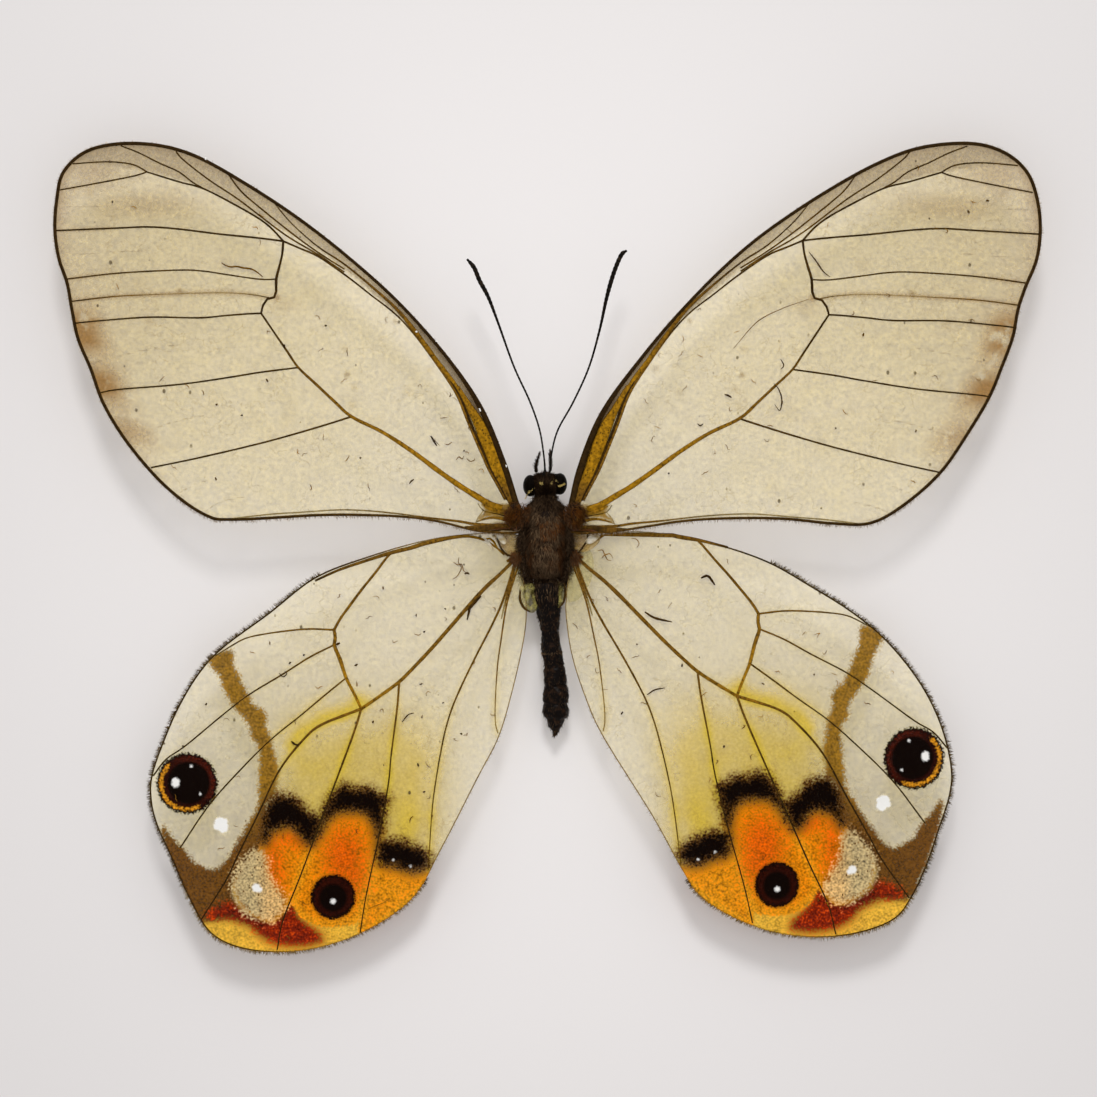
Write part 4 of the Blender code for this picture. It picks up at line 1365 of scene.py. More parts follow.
ORANGE_LOBES = (
    ((17.7, -19.6), (17.03, -19.47), (16.5, -19.87), (16.03, -20.4), (15.63, -20.73), (15.7, -21.0),
     (16.83, -24.2), (17.1, -24.67), (17.5, -25.13), (18.03, -25.67), (18.7, -25.67), (19.37, -25.33),
     (20.03, -24.87), (20.37, -24.33), (20.63, -23.67), (20.7, -23.33), (20.37, -22.53), (19.7, -21.67),
     (19.17, -21.13), (18.9, -20.53), (18.37, -19.93)),
    ((14.17, -18.67), (13.37, -18.4), (12.5, -18.4), (11.83, -18.67), (11.3, -19.33), (11.1, -20.2),
     (11.43, -22.0), (12.1, -24.67), (12.23, -25.13), (12.7, -25.8), (13.7, -26.0), (15.03, -26.0),
     (16.03, -25.53), (16.63, -24.87), (16.83, -24.33), (16.7, -23.67), (15.7, -21.0), (15.17, -20.2)),
    ((11.15, -21.77), (9.97, -22.03), (9.5, -22.23), (8.9, -22.43), (8.1, -22.6), (7.6, -22.8),
     (8.5, -24.0), (9.7, -25.1), (11.03, -25.95), (12.25, -26.6), (12.3, -25.13), (11.8, -23.33)),
)
LOBE_GLASS = (
    (20.9, -23.33), (20.65, -22.45), (19.95, -21.52), (19.15, -20.9), (18.65, -21.53), (18.5, -22.47),
    (18.1, -23.33), (17.43, -24.13), (17.4, -24.9), (18.03, -25.65), (18.75, -25.72), (19.5, -25.42),
    (20.25, -24.93), (20.68, -24.3),
)
RED_ZONE = (
    (21.03, -24.67), (19.7, -25.33), (18.37, -25.73), (17.37, -25.13), (16.97, -24.33), (16.63, -25.33),
    (16.03, -26.0), (15.17, -26.67), (15.03, -27.0), (16.03, -27.23), (17.03, -27.23), (18.03, -27.07),
    (18.9, -26.67), (19.7, -26.0), (21.03, -25.53), (22.37, -25.33),
)
AMBER_ZONES = (
    ((22.7, -25.87), (21.7, -25.73), (20.7, -25.8), (20.03, -26.2), (19.57, -26.67), (18.9, -26.87),
     (17.8, -27.2), (15.0, -27.0), (15.03, -26.0), (13.03, -26.0), (11.6, -26.3), (13.0, -27.2),
     (16.0, -28.2), (20.17, -28.1), (22.3, -26.9)),
)
YELLOW_STREAK = ((16.9, -14.0), (16.0, -13.0), (14.7, -12.2), (13.1, -11.75), (12.3, -11.2))
EYESPOTS = ((23.9, -16.57, 2.05), (14.17, -24.13, 1.5))
EYE_DISCS = ((23.8, -16.53, 1.42), (14.17, -24.2, 0.92))
WHITE_DOTS = (
    (24.67, -16.57, 0.25), (24.67, -16.42, 0.25), (23.63, -15.4, 0.07), (23.03, -17.27, 0.07),
    (21.7, -19.2, 0.4), (21.52, -19.48, 0.38), (21.9, -19.42, 0.26), (21.38, -19.12, 0.2),
    (14.17, -24.43, 0.17), (19.3, -23.53, 0.27), (19.1, -23.65, 0.18), (10.17, -21.7, 0.06),
    (9.0, -22.1, 0.06),
)
EMBERS = (
    (13.4, -21.6, 1.3, 1.9), (18.1, -22.1, 0.5, 1.8), (16.5, -20.3, 1.1, 0.4), (12.9, -22.6, 0.9, 1.3),
)
# How strong, where and how far each smoky cloud and ochre bump of a forewing is
SMOKE_CLOUDS = (
    (0.36, (27.0, 21.9), (4.2, 1.0)), (0.5, (30.2, 24.3), (2.6, 1.8)),
    (0.95, (17.88, 15.8), (0.26, 0.3)), (0.28, (17.25, 15.35), (1.1, 0.6)),
)
OCHRE_BUMPS = ((1.0, 13.6, 1.5), (0.85, 10.0, 1.3), (0.5, 6.9, 1.2))


def deepest(spots: Array, outlines: Sequence[Sequence[Point]]) -> Array:
    """How deep each plan point lies inside any of some listed outlines, in mm."""
    depths = [depth_inside(spots, smooth_path(outline, 0.3, closed=True)) for outline in outlines]
    return np.max(depths, axis=0)


def disc_depth(spots: Array, discs: Sequence[Point]) -> Array:
    """How deep each plan point lies inside any of some discs, in mm."""
    return np.max([radius - np.linalg.norm(spots - (u, v), axis=1) for u, v, radius in discs], axis=0)


@dataclass
class Wing:
    """One wing: a film in its outline, the veins in it, the rim along its edge and the fringe outside it."""

    side: Side
    outline: tuple[Point, ...]
    lie: Lie
    kind: str
    veins: dict[str, Vein]
    root_height: float
    tip_rise: float
    grid: float
    seed: int
    edge: Array = field(init=False)
    ribs: dict[str, Array] = field(init=False)

    def __post_init__(self) -> None:
        """Works out the smooth edge and the veins as they lie in this wing."""
        self.edge = smooth_path(self.outline, 0.22, closed=True)
        self.ribs = {}
        for name, vein in self.veins.items():
            rib = smooth_path(self.lie.place(vein.points), 0.35)
            self.ribs[name] = rib[depth_inside(rib, self.edge) > 0.02]

    @property
    def name(self) -> str:
        """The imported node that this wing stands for."""
        return f"{self.kind}_{self.side.word}"

    def middle(self, spots: Array) -> Array:
        """The height of the wing's middle surface over plan points.

        Args:
            spots: The plan points.

        Returns:
            The heights.
        """
        share = np.clip(spots[:, 0], 0, None) / WING_SPAN
        return (self.root_height + self.tip_rise * share
                + WING_CAMBER * np.sin(math.pi * np.clip(share, 0, 1)))

    def stand(self, spots: Array, lift: Array | float = 0.0) -> Array:
        """Plan points of this wing as (x, y, z) on its middle surface, raised by lift."""
        return np.column_stack([self.side.value * spots[:, 0], spots[:, 1], self.middle(spots) + lift])

    def readings(self, spots: Array, rim: Array, rib_gap: Array) -> dict[str, Array]:
        """The numbers that the film's finish reads. Each kind of wing gives its own.

        Args:
            spots: The film's plan points.
            rim: Their distances to the edge.
            rib_gap: Their distances to the nearest vein.

        Returns:
            A number for each point, by the name that the finish reads.
        """
        raise NotImplementedError

    def extra_spots(self) -> Array:
        """Plan points where the film needs finer faces."""
        return np.zeros((0, 2))

    def film(self, finish: bpy.types.Material, slot: str) -> bpy.types.Object:
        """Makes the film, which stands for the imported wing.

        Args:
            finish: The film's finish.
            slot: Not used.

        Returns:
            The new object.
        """
        inner = scatter_inside(self.edge, self.grid, self.seed, self.extra_spots())
        spots, faces = triangulate(self.edge, inner)
        rim, _ = gap_to_path(spots, self.edge, closed=True)
        rib_gap = np.min([gap_to_path(spots, rib)[0] for rib in self.ribs.values()], axis=0)
        slack = 1 - np.exp(-(np.minimum(rib_gap, rim) / 0.8) ** 2)
        lift = slack * (0.1 * ripple(spots, 3.5, self.seed) + 0.035 * ripple(spots, 1.1, self.seed + 9))
        top = self.stand(spots, lift + FILM / 2)
        bottom = self.stand(spots, lift - FILM / 2)
        points, skin = closed_sheet(top, bottom, faces, self.side is Side.LEFT)
        values = {key: np.tile(numbers, 2) for key, numbers in self.readings(spots, rim, rib_gap).items()}
        piece = make_piece(self.name + "_film", points, skin, values, finish)
        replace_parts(piece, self.name)
        return piece

    def rim_path(self) -> tuple[Array, Array, Array]:
        """The stout edge line: its path in the plan, its radii and its tones."""
        raise NotImplementedError

    def frame_work(self, finish: bpy.types.Material, slot: str) -> bpy.types.Object:
        """Makes the veins and the rim as one piece.

        Args:
            finish: The veins' finish.
            slot: Not used.

        Returns:
            The new object.
        """
        strands = Strands(sides=8)
        for name, vein in self.veins.items():
            path = self.ribs[name]
            wobble = 1 + 0.12 * ripple(path, 0.7, self.seed + len(name))
            radii = spread(vein.radii, len(path)) * wobble
            tones = np.clip(spread(vein.tones, len(path)) + 0.15 * ripple(path, 0.9, self.seed), 0, 1)
            strands.add(self.stand(path), radii, vein.flatness, tone=tones)
        path, radii, tones = self.rim_path()
        strands.add(self.stand(path), radii, 0.8, tone=tones)
        return strands.piece(self.name + "_veins", finish, slot)

    def outward(self, path: Array) -> Array:
        """The direction that points out of the wing at each place along its edge.

        Args:
            path: The edge's samples.

        Returns:
            One direction for each.
        """
        along = np.gradient(path, axis=0)
        along /= np.linalg.norm(along, axis=1, keepdims=True)
        return np.column_stack([-along[:, 1], along[:, 0]])

    def hairline(self, spot: Array, out: Array) -> Hairline | None:
        """The hair that grows at a place on the edge. Each kind of wing gives its own."""
        raise NotImplementedError

    def fringe(self, finish: bpy.types.Material, slot: str) -> bpy.types.Object:
        """Makes the fringe of fine hair along the edge.

        Args:
            finish: The hair's finish.
            slot: Not used.

        Returns:
            The new object.
        """
        rng = np.random.default_rng(self.seed + 50)
        path = smooth_path(self.outline, 0.05, closed=True)[:, :2]
        out = self.outward(path)
        fuzz = Fuzz()
        chosen = []
        for spot, way in zip(path, out):
            hairs = self.hairline(spot, way)
            if hairs is None:
                continue
            for _ in range(rng.poisson(hairs.per_mm * 0.05)):
                chosen.append((*spot, *way, hairs.length, hairs.radius, hairs.tone))
        grown = np.array(chosen)
        count = len(grown)
        sweep = rng.normal(0.25, 0.35, count)
        across = np.column_stack([grown[:, 3], -grown[:, 2]])
        ways = grown[:, 2:4] + across * sweep[:, None]
        ways = np.column_stack([self.side.value * ways[:, 0], ways[:, 1], rng.normal(0, 0.22, count)])
        ways /= np.linalg.norm(ways, axis=1, keepdims=True)
        inset = grown[:, :2] - grown[:, 2:4] * 0.08 + rng.normal(0, 0.02, (count, 2))
        roots = self.stand(inset, rng.uniform(-0.02, 0.02, count))
        lengths = (grown[:, 4] + 0.08) * rng.uniform(0.6, 1.15, count)
        tones = np.clip(grown[:, 6] + rng.normal(0, 0.18, count), 0, 1)
        bends = rng.normal(0, 0.03, (count, 3)) * np.array((1.0, 1.0, 0.5))
        fuzz.add(roots, ways, lengths, grown[:, 5], bends, tones)
        return fuzz.piece(self.name + "_fringe", finish, slot)


class Forewing(Wing):
    """A forewing: long, straw-coloured, smoky at its front edge and tip."""

    fold_half_width = 0.045

    def stretches(self) -> tuple[Array, Array, Array]:
        """The front, outer and rear stretches of the edge.

        Returns:
            The samples of each.
        """
        tip = int(np.argmax(self.edge[:, 0] * 0.6 + self.edge[:, 1] * 0.8))
        corner = int(np.argmax(self.edge[:, 0] - self.edge[:, 1]))
        return self.edge[:tip + 1], self.edge[tip:corner + 1], self.edge[corner:]

    def smoke(self, spots: Array, strip: Array, rib_gap: Array) -> Array:
        """How smoky the film is: along its front strip, its outer margin and its veins, and in clouds.

        Args:
            spots: The film's plan points.
            strip: Whether each lies in the front strip, 0 to 1.
            rib_gap: Their distances to the nearest vein.

        Returns:
            The smoke at each point, 0 to 1.
        """
        front, outer, rear = (gap_to_path(spots, part)[0] for part in self.stretches())
        smudge, _ = gap_to_path(spots, self.ribs["media_3"])
        plan = self.lie.undo(spots)
        u, v = plan.T
        layers = [
            strip * (0.4 + 0.4 * np.exp(-front / 0.35)),
            0.85 * np.exp(-outer / 1.0) * ramp(v, 12.5, 22.0),
            0.7 * np.exp(-outer / 0.45),
            0.32 * np.exp(-outer / 2.6) * ramp(v, 4.0, 9.0),
            0.6 * np.exp(-(rib_gap / 0.22) ** 2) * ramp(outer, 7.0, 0.5) * ramp(v, 4.0, 12.0),
            0.45 * np.exp(-(rear / 0.28) ** 2),
            0.62 * np.exp(-(smudge / 0.2) ** 2) * ramp(u, 17.8, 18.6),
        ]
        layers += [weight * hump(plan, centre, reach) for weight, centre, reach in SMOKE_CLOUDS]
        haze = 0.15 * ramp(u, 14.0, 27.0) * ramp(v, 9.0, 16.0)
        return np.clip(np.max(layers, axis=0) + haze, 0, 1)

    def readings(self, spots: Array, rim: Array, rib_gap: Array) -> dict[str, Array]:
        """The numbers that the film's finish reads: smoke, ochre, stains, folds and pale parts.

        Args:
            spots: The plan points.
            rim: Their distances to the edge.
            rib_gap: Their distances to the nearest vein.

        Returns:
            A number for each point, by the name that the finish reads.
        """
        front, outer, _ = (gap_to_path(spots, part)[0] for part in self.stretches())
        plan = self.lie.undo(spots)
        u, v = plan.T
        inner_line = smooth_path(self.lie.place(STRIP_INNER_LINE), 0.4)
        front_line = self.stretches()[0]
        strip = ramp(depth_inside(spots, np.vstack([front_line, inner_line[::-1]])), -0.04, 0.1)
        bumps = sum(weight * np.exp(-((v - centre) / reach) ** 2) for weight, centre, reach in OCHRE_BUMPS)
        stain = np.max([weight * hump(plan, (blot_u, blot_v), (reach, reach))
                        for blot_u, blot_v, reach, weight in FOREWING_BLOTS], axis=0)
        gaps = [gap_to_path(plan, smooth_path(line, 0.4))[0] for line in FOREWING_FOLDS]
        fade = 0.42 + 0.58 * ramp(v, 19.0, 12.5)
        depth = np.clip(0.54 + 0.7 * np.exp(-front / 0.42) + 0.35 * ramp(v, 10.5, 7.5), 0, 1)
        plates = ramp(deepest(plan, ROOT_PLATES), -0.06, 0.1)
        pale = 0.55 * ramp(u, 22.0, 4.0) * ramp(v, 13.0, 4.0) + 0.25 * ramp(u, 16.0, 6.0)
        return {
            "margin": rim, "smoke": self.smoke(spots, strip, rib_gap), "strip": strip * fade * depth,
            "ochre": ramp(outer, 2.8, 0.7) * np.clip(bumps * 1.3, 0, 1), "stain": stain,
            "fold": self.fold_half_width - np.min(gaps, axis=0),
            "root": np.maximum(plates, 0.55 * hump(plan, (2.3, 1.3), (0.9, 1.1))),
            "plate": ramp(deepest(plan, [ANAL_PLATE]), -0.08, 0.06), "pale": np.clip(pale, 0, 1),
        }

    def rim_path(self) -> tuple[Array, Array, Array]:
        """A stout dark front edge, then a thinner line round the tip and along the rear.

        Returns:
            The path, its radii and its tones.
        """
        path = self.edge[:, :2]
        front, outer, _ = self.stretches()
        share = np.arange(len(path), dtype=float)
        marks = np.array((0.0, 0.08, 0.17, 0.22, 0.28, 0.37, 0.9)) * len(front)
        marks = (*marks, len(front) + len(outer), len(path))
        radii = np.interp(share, marks, (0.22, 0.24, 0.19, 0.15, 0.12, 0.11, 0.12, 0.11, 0.07))
        tones = np.interp(share, marks, (0.9, 1.0, 1.0, 1.0, 1.0, 1.0, 0.95, 0.95, 0.75))
        return path - self.outward(path) * radii[:, None], radii, tones

    def hairline(self, spot: Array, out: Array) -> Hairline | None:
        """Short scales in front, a fine pale fringe outside and longer grey-brown hair behind.

        Args:
            spot: The place on the edge.
            out: The direction out of the wing there.

        Returns:
            The hair, or nothing.
        """
        u, v = spot
        if u < 3.0:
            return None
        if out[1] > 0.3 and u < 29.0:
            return Hairline(0.05, 0.022, 0.15, 12.0)
        if out[1] < -0.5 and v < 2.6:
            return Hairline(0.22, 0.018, 0.3, 30.0)
        return Hairline(0.13, 0.02, 0.75, 30.0)


class Hindwing(Wing):
    """A hindwing: clear towards its root, with a yellow wash, a brown band and the coloured markings."""

    def extra_spots(self) -> Array:
        """A finer scatter round the white dots.

        Returns:
            The points.
        """
        rng = np.random.default_rng(self.seed + 3)
        patches = []
        for u, v, radius in WHITE_DOTS:
            reach = radius + 0.12
            side = np.arange(-reach, reach, 0.055)
            grid = np.stack(np.meshgrid(side, side), axis=-1).reshape(-1, 2)
            patches.append(grid + (u, v) + rng.uniform(-0.008, 0.008, grid.shape))
        return self.lie.place(np.vstack(patches))

    def readings(self, spots: Array, rim: Array, rib_gap: Array) -> dict[str, Array]:
        """The numbers that the film's finish reads: the depth inside each marking, and the wash.

        Args:
            spots: The plan points.
            rim: Their distances to the edge.
            rib_gap: Their distances to the nearest vein.

        Returns:
            A number for each point, by the name that the finish reads.
        """
        plan = self.lie.undo(spots)
        u, v = plan.T
        wash = ramp(v, -9.5, -15.5) * ramp(u, 19.3, 16.0) * ramp(u, 5.0, 9.5) * 0.7
        streak, _ = gap_to_path(plan, smooth_path(YELLOW_STREAK, 0.4))
        wash = np.maximum(wash, 0.95 * np.exp(-(streak / 0.75) ** 2))
        wash = np.maximum(wash, 0.92 * hump(plan, (9.6, -19.2), (2.6, 4.2)))
        wash = wash + 0.26 * np.exp(-(rib_gap / 0.35) ** 2) * ramp(v, -6.0, -13.0) * ramp(u, 20.0, 17.0)
        wash = wash + 0.12 * np.exp(-(rib_gap / 0.25) ** 2)
        wash = np.clip(wash * (1 + 0.25 * ripple(plan, 1.6, 4.0)), 0, 1)
        lobe = deepest(plan, ORANGE_LOBES)
        sun = 0.5 * ramp(lobe, 0.6, 0.1) + 0.45 * hump(plan, (10.2, -24.2), (2.4, 2.4))
        warm = np.maximum(0.8 * hump(plan, (17.0, -26.8), (1.9, 0.8)),
                          0.5 * hump(plan, (9.4, -24.4), (2.2, 1.8)))
        ember = np.max([(1 - np.hypot((u - across) / wide, (v - along) / long)) * min(wide, long)
                        for across, along, wide, long in EMBERS], axis=0)
        across = plan - EYESPOTS[0][:2]
        reach = np.maximum(np.linalg.norm(across, axis=1), 1e-6)
        outward = (across @ (0.8, -0.6)) / reach
        return {
            "wash": wash, "pale": np.clip(0.85 - wash, 0, 1), "band": deepest(plan, [BROWN_BAND]),
            "patch": deepest(plan, BLACK_PATCHES), "lobe": lobe, "glass": deepest(plan, [LOBE_GLASS]),
            "blush": deepest(plan, [RED_ZONE]), "ember": ember, "sun": np.clip(sun, 0, 1), "warm": warm,
            "flush": ramp(u, 19.6, 18.2), "soot": 0.6 * hump(plan, (20.0, -25.5), (1.5, 0.7)),
            "glow": ramp(outward, 0.1, -0.7) * (reach < 3.0),
            "gold": 0.12 - np.abs(reach - 1.72) - 0.4 * ramp(outward, 0.25, -0.25),
            "base": np.max([lobe, deepest(plan, AMBER_ZONES), deepest(plan, [RED_ZONE])], axis=0),
            "dusk": ramp(v, -17.0, -21.0),
            "spot": disc_depth(plan, EYESPOTS), "disc": disc_depth(plan, EYE_DISCS),
            "dot": disc_depth(plan, WHITE_DOTS), "stain": np.zeros(len(spots)),
            "fold": np.full(len(spots), -1.0),
        }

    def rim_path(self) -> tuple[Array, Array, Array]:
        """A thin line, dark round the outside and pale along the inner edge.

        Returns:
            The path, its radii and its tones.
        """
        path = self.edge[:, :2]
        out = self.outward(path)
        outer = ramp(out[:, 0], -0.2, 0.3) * ramp(path[:, 0], 8.0, 14.0)
        inner = ramp(out[:, 0], 0.0, -0.4)
        radii = 0.035 + 0.022 * outer
        tones = np.clip(0.55 + 0.4 * outer - 0.1 * inner, 0, 1)
        return path - out * radii[:, None], radii, tones

    def hairline(self, spot: Array, out: Array) -> Hairline | None:
        """Dense dark hair round the outside, short hair in front and sparse pale hair inside.

        Args:
            spot: The place on the edge.
            out: The direction out of the wing there.

        Returns:
            The hair, or nothing.
        """
        u, v = spot
        if u < 2.6:
            return None
        if out[1] > 0.2 and u < 15.0:
            return Hairline(0.06, 0.016, 0.35, 12.0)
        if out[0] < -0.1 and v > -23.0:
            return Hairline(0.16, 0.013, 0.55, 12.0)
        if v < -23.5:
            return Hairline(0.26, 0.021, 0.45, 44.0)
        return Hairline(0.28, 0.022, 0.12, 46.0)


# Small films at the wing roots

FLAP_HALF = 0.02


@dataclass(frozen=True)
class Flap:
    """A small folded film: its outline from above (x, y), its height, its bulge and its dark rolled edge."""

    name: str
    outline: tuple[Point, ...]
    height: float
    bulge: float
    roll: tuple[Point, ...] = ()
    roll_radius: float = 0.05

    def build(self, finish: bpy.types.Material, edge_finish: bpy.types.Material, slot: str) -> None:
        """Makes the film, and its edge where it has one.

        Args:
            finish: The film's finish.
            edge_finish: The finish of its rolled edge.
            slot: Not used.
        """
        edge = smooth_path(self.outline, 0.12, closed=True)
        spots, faces = triangulate(edge, scatter_inside(edge, 0.11, 5))
        depth, _ = gap_to_path(spots, edge, closed=True)
        lift = self.height + self.bulge * (1 - np.exp(-(depth / 0.35) ** 2)) + 0.06 * ripple(spots, 0.5, 3)
        top = np.column_stack([spots, lift + FLAP_HALF])
        bottom = np.column_stack([spots, lift - FLAP_HALF])
        points, skin = closed_sheet(top, bottom, faces, False)
        make_piece(self.name, points, skin, {}, finish)
        if self.roll:
            path = smooth_path(self.roll, 0.1)
            strands = Strands(sides=8)
            strands.add(np.column_stack([path, np.full(len(path), self.height + 0.5 * self.bulge)]),
                        spread((0.6, 1.0, 1.0, 0.5), len(path)) * self.roll_radius, tone=0.85)
            strands.piece(self.name + "_roll", edge_finish, slot)


GREEN_FLAPS = (
    Flap("flap_left", ((-1.63, -3.33), (-1.17, -3.2), (-0.63, -3.4), (-0.57, -4.07), (-0.57, -4.87),
                       (-0.83, -5.2), (-1.23, -5.07), (-1.57, -4.53), (-1.77, -3.93)), 2.18, 0.3,
         ((-1.7, -3.67), (-1.7, -4.33), (-1.43, -4.87), (-1.03, -5.13)), 0.09),
    Flap("flap_right", ((0.77, -3.27), (1.23, -3.2), (1.3, -3.8), (1.17, -4.53), (0.83, -4.87),
                        (0.7, -4.07)), 2.18, 0.24,
         ((1.27, -3.2), (1.33, -3.8), (1.2, -4.5), (0.9, -4.87)), 0.07),
    Flap("flap_under_right", ((2.45, -0.9), (2.95, -0.95), (3.22, -1.7), (3.16, -2.6), (2.8, -3.55),
                              (2.2, -4.3), (1.6, -4.45), (1.38, -3.85), (1.72, -2.8), (2.05, -1.7)),
         1.98, 0.08),
)
ROOT_LINES = {
    "film_line_left": ((-3.23, 0.0), (-3.17, -0.4), (-2.97, -0.87), (-2.7, -1.2), (-2.43, -1.4)),
    "film_line_right": ((2.83, 0.05), (2.75, -0.35), (2.5, -0.8), (2.17, -1.2)),
}
GLASSY_FLAPS = (
    Flap("film_left", ((-3.43, 0.07), (-2.7, 0.13), (-1.97, 0.07), (-1.77, -0.67), (-1.9, -1.33),
                       (-2.37, -1.4), (-2.83, -0.93), (-3.23, -0.47)), 2.52, 0.1),
    Flap("film_right", ((1.83, 0.2), (2.6, 0.25), (3.5, 0.17), (3.63, -0.4), (3.1, -0.93),
                        (2.5, -1.13), (1.9, -0.9)), 2.52, 0.1),
)
# Pale sheets of painted highlight: they stand for the glints on the folded films at the wing roots.
PAINTED_GLINTS = (
    Flap("painted_glint_left_outer", ((-4.4, -0.26), (-4.05, -0.22), (-3.72, -0.5), (-3.42, -1.0), (-3.62, -0.92),
                              (-4.05, -0.55)), 2.44, 0.05),
    Flap("painted_glint_left_inner", ((-3.3, 0.0), (-2.85, -0.02), (-2.6, -0.35), (-2.7, -0.62),
                              (-3.02, -0.45)), 2.66, 0.05),
    Flap("painted_glint_right", ((2.62, -0.42), (3.05, -0.02), (3.62, -0.06), (3.4, -0.35), (2.98, -0.6)),
         2.66, 0.05),
)
ROOT_LINE_HEIGHT = 2.62


def build_root_films(finishes: dict[str, bpy.types.Material]) -> None:
    """Makes the small folded films, the pale sheets of painted highlight on them and the dark lines beside
    them.

    Args:
        finishes: Every finish, by name.
    """
    for flap in GREEN_FLAPS:
        flap.build(finishes["faint" if "under" in flap.name else "green"], finishes["vein"], "body_fuzz")
    for flaps, finish in ((GLASSY_FLAPS, "glassy"), (PAINTED_GLINTS, "glint")):
        for flap in flaps:
            flap.build(finishes[finish], finishes["vein"], "body_fuzz")
    for name, line in ROOT_LINES.items():
        path = smooth_path(line, 0.08)
        strands = Strands(sides=8)
        strands.add(np.column_stack([path, np.full(len(path), ROOT_LINE_HEIGHT)]),
                    spread((0.04, 0.06, 0.05), len(path)), tone=0.97)
        strands.piece(name, finishes["vein"], "body_fuzz")


# Body

HAIR_HEIGHTS = (0.0, 4.02)
BACKWARD = (0.0, -1.0, 0.0)


@dataclass(frozen=True)
class Coat:
    """Hair over a body piece: how much, how long, how it lies and how its tones vary."""

    count: int
    length: float
    radius: float
    flow: Point
    lift: float
    tone: float
    tone_spread: float
    rust: float = 0.0
    tuft: float = 0.35


def grow(fuzz: Fuzz, points: Array, ways: Array, coat: Coat, seed: int, above: float = 0.12) -> None:
    """Grows hair on a skin, all over it but for its flat underside.

    Args:
        fuzz: What gathers the hair.
        points: The skin's points, in mm.
        ways: Its outward directions.
        coat: The kind of hair.
        seed: The seed of its scatter.
        above: The lowest height that hair grows at.
    """
    rng = np.random.default_rng(seed)
    spare = np.flatnonzero(points[:, 2] > above)
    chosen = rng.choice(spare, coat.count)
    roots = points[chosen] + rng.normal(0, 0.03, (coat.count, 3))
    clump = np.array([noise.noise_vector(Vector(root / 0.55)) for root in roots])
    flow = np.asarray(coat.flow) + clump * coat.tuft + rng.normal(0, 0.16, (coat.count, 3))
    out = ways[chosen]
    flow -= out * np.sum(flow * out, axis=1, keepdims=True)
    directions = flow / np.maximum(np.linalg.norm(flow, axis=1, keepdims=True), 1e-6) + out * coat.lift
    directions /= np.linalg.norm(directions, axis=1, keepdims=True)
    lengths = coat.length * rng.uniform(0.55, 1.2, coat.count)
    tones = np.clip(coat.tone + clump[:, 0] * 0.25 + rng.normal(0, coat.tone_spread, coat.count), 0, 1)
    swing = clump[:, 1] * 0.5 + rng.normal(0, 0.1, coat.count)
    rust = np.clip(coat.rust + swing, 0, 1) if coat.rust > 0 else np.zeros(coat.count)
    bends = -out * (lengths * 0.16)[:, None] + rng.normal(0, 0.03, (coat.count, 3))
    fuzz.add(roots, directions, lengths, np.full(coat.count, coat.radius), bends, tones, rust)


@dataclass(frozen=True)
class Bed:
    """An oval bed of loose hair: its middle and reach (x, y), its heights, how many hairs and their tones."""

    middle: Point
    reach: Point
    heights: Point
    count: int
    tone: float
    rust: float = 0.0
    out: float = 0.35

    def sow(self, fuzz: Fuzz, mirror: int, seed: int) -> None:
        """Grows the bed's hair.

        Args:
            fuzz: What gathers the hair.
            mirror: The sign of the side of the body that it grows on.
            seed: The seed of its scatter.
        """
        rng = np.random.default_rng(seed)
        angle = rng.uniform(0, math.tau, self.count)
        share = np.sqrt(rng.uniform(0, 1, self.count)) * rng.uniform(0.75, 1.1, self.count)
        x = self.middle[0] + self.reach[0] * share * np.cos(angle)
        y = self.middle[1] + self.reach[1] * share * np.sin(angle)
        roots = np.column_stack([mirror * x, y, rng.uniform(*self.heights, self.count)])
        ways = np.column_stack([rng.normal(self.out, 0.45, self.count) * mirror,
                                rng.normal(-0.8, 0.5, self.count), rng.uniform(0.05, 0.45, self.count)])
        ways /= np.linalg.norm(ways, axis=1, keepdims=True)
        fuzz.add(roots, ways, rng.uniform(0.22, 0.55, self.count), np.full(self.count, 0.019),
                 rng.normal(0, 0.08, (self.count, 3)) - np.array((0, 0, 0.08)),
                 np.clip(rng.normal(self.tone, 0.16, self.count), 0, 1),
                 np.clip(rng.normal(self.rust, 0.2, self.count), 0, 1) * (self.rust > 0))


def roughen(points: Array, size: float, depth: float, seed: float) -> Array:
    """Points moved about by smooth noise, with hills of a size and a depth in mm.

    Args:
        points: The points, in mm.
        size: The size of the hills.
        depth: How far the points move at most.
        seed: The seed of the noise.

    Returns:
        The moved points.
    """
    shift = Vector((seed, -seed, seed))
    moves = [noise.noise_vector(Vector(point) / size + shift)[:] for point in points]
    return points + np.array(moves) * depth


def close_surface(points: Array, centre: Point, radii: Point) -> Array:
    """The outward directions at points near a ball with three radii."""
    ways = (points - np.asarray(centre)) / np.asarray(radii) ** 2
    return ways / np.linalg.norm(ways, axis=1, keepdims=True)


def rise(x: Array, y: Array, centre: Point, reach: Point, height: float) -> Array:
    """How high a rounded top stands over its own rim.

    Args:
        x: Where it is read, along X.
        y: Where it is read, along Y.
        centre: Its middle in the plan.
        reach: Its half widths along X and Y.
        height: Its height in the middle.

    Returns:
        The heights in mm, 0 outside the rim.
    """
    inside = 1 - ((x - centre[0]) / reach[0]) ** 2 - ((y - centre[1]) / reach[1]) ** 2
    return height * np.sqrt(np.clip(inside, 0, 1))


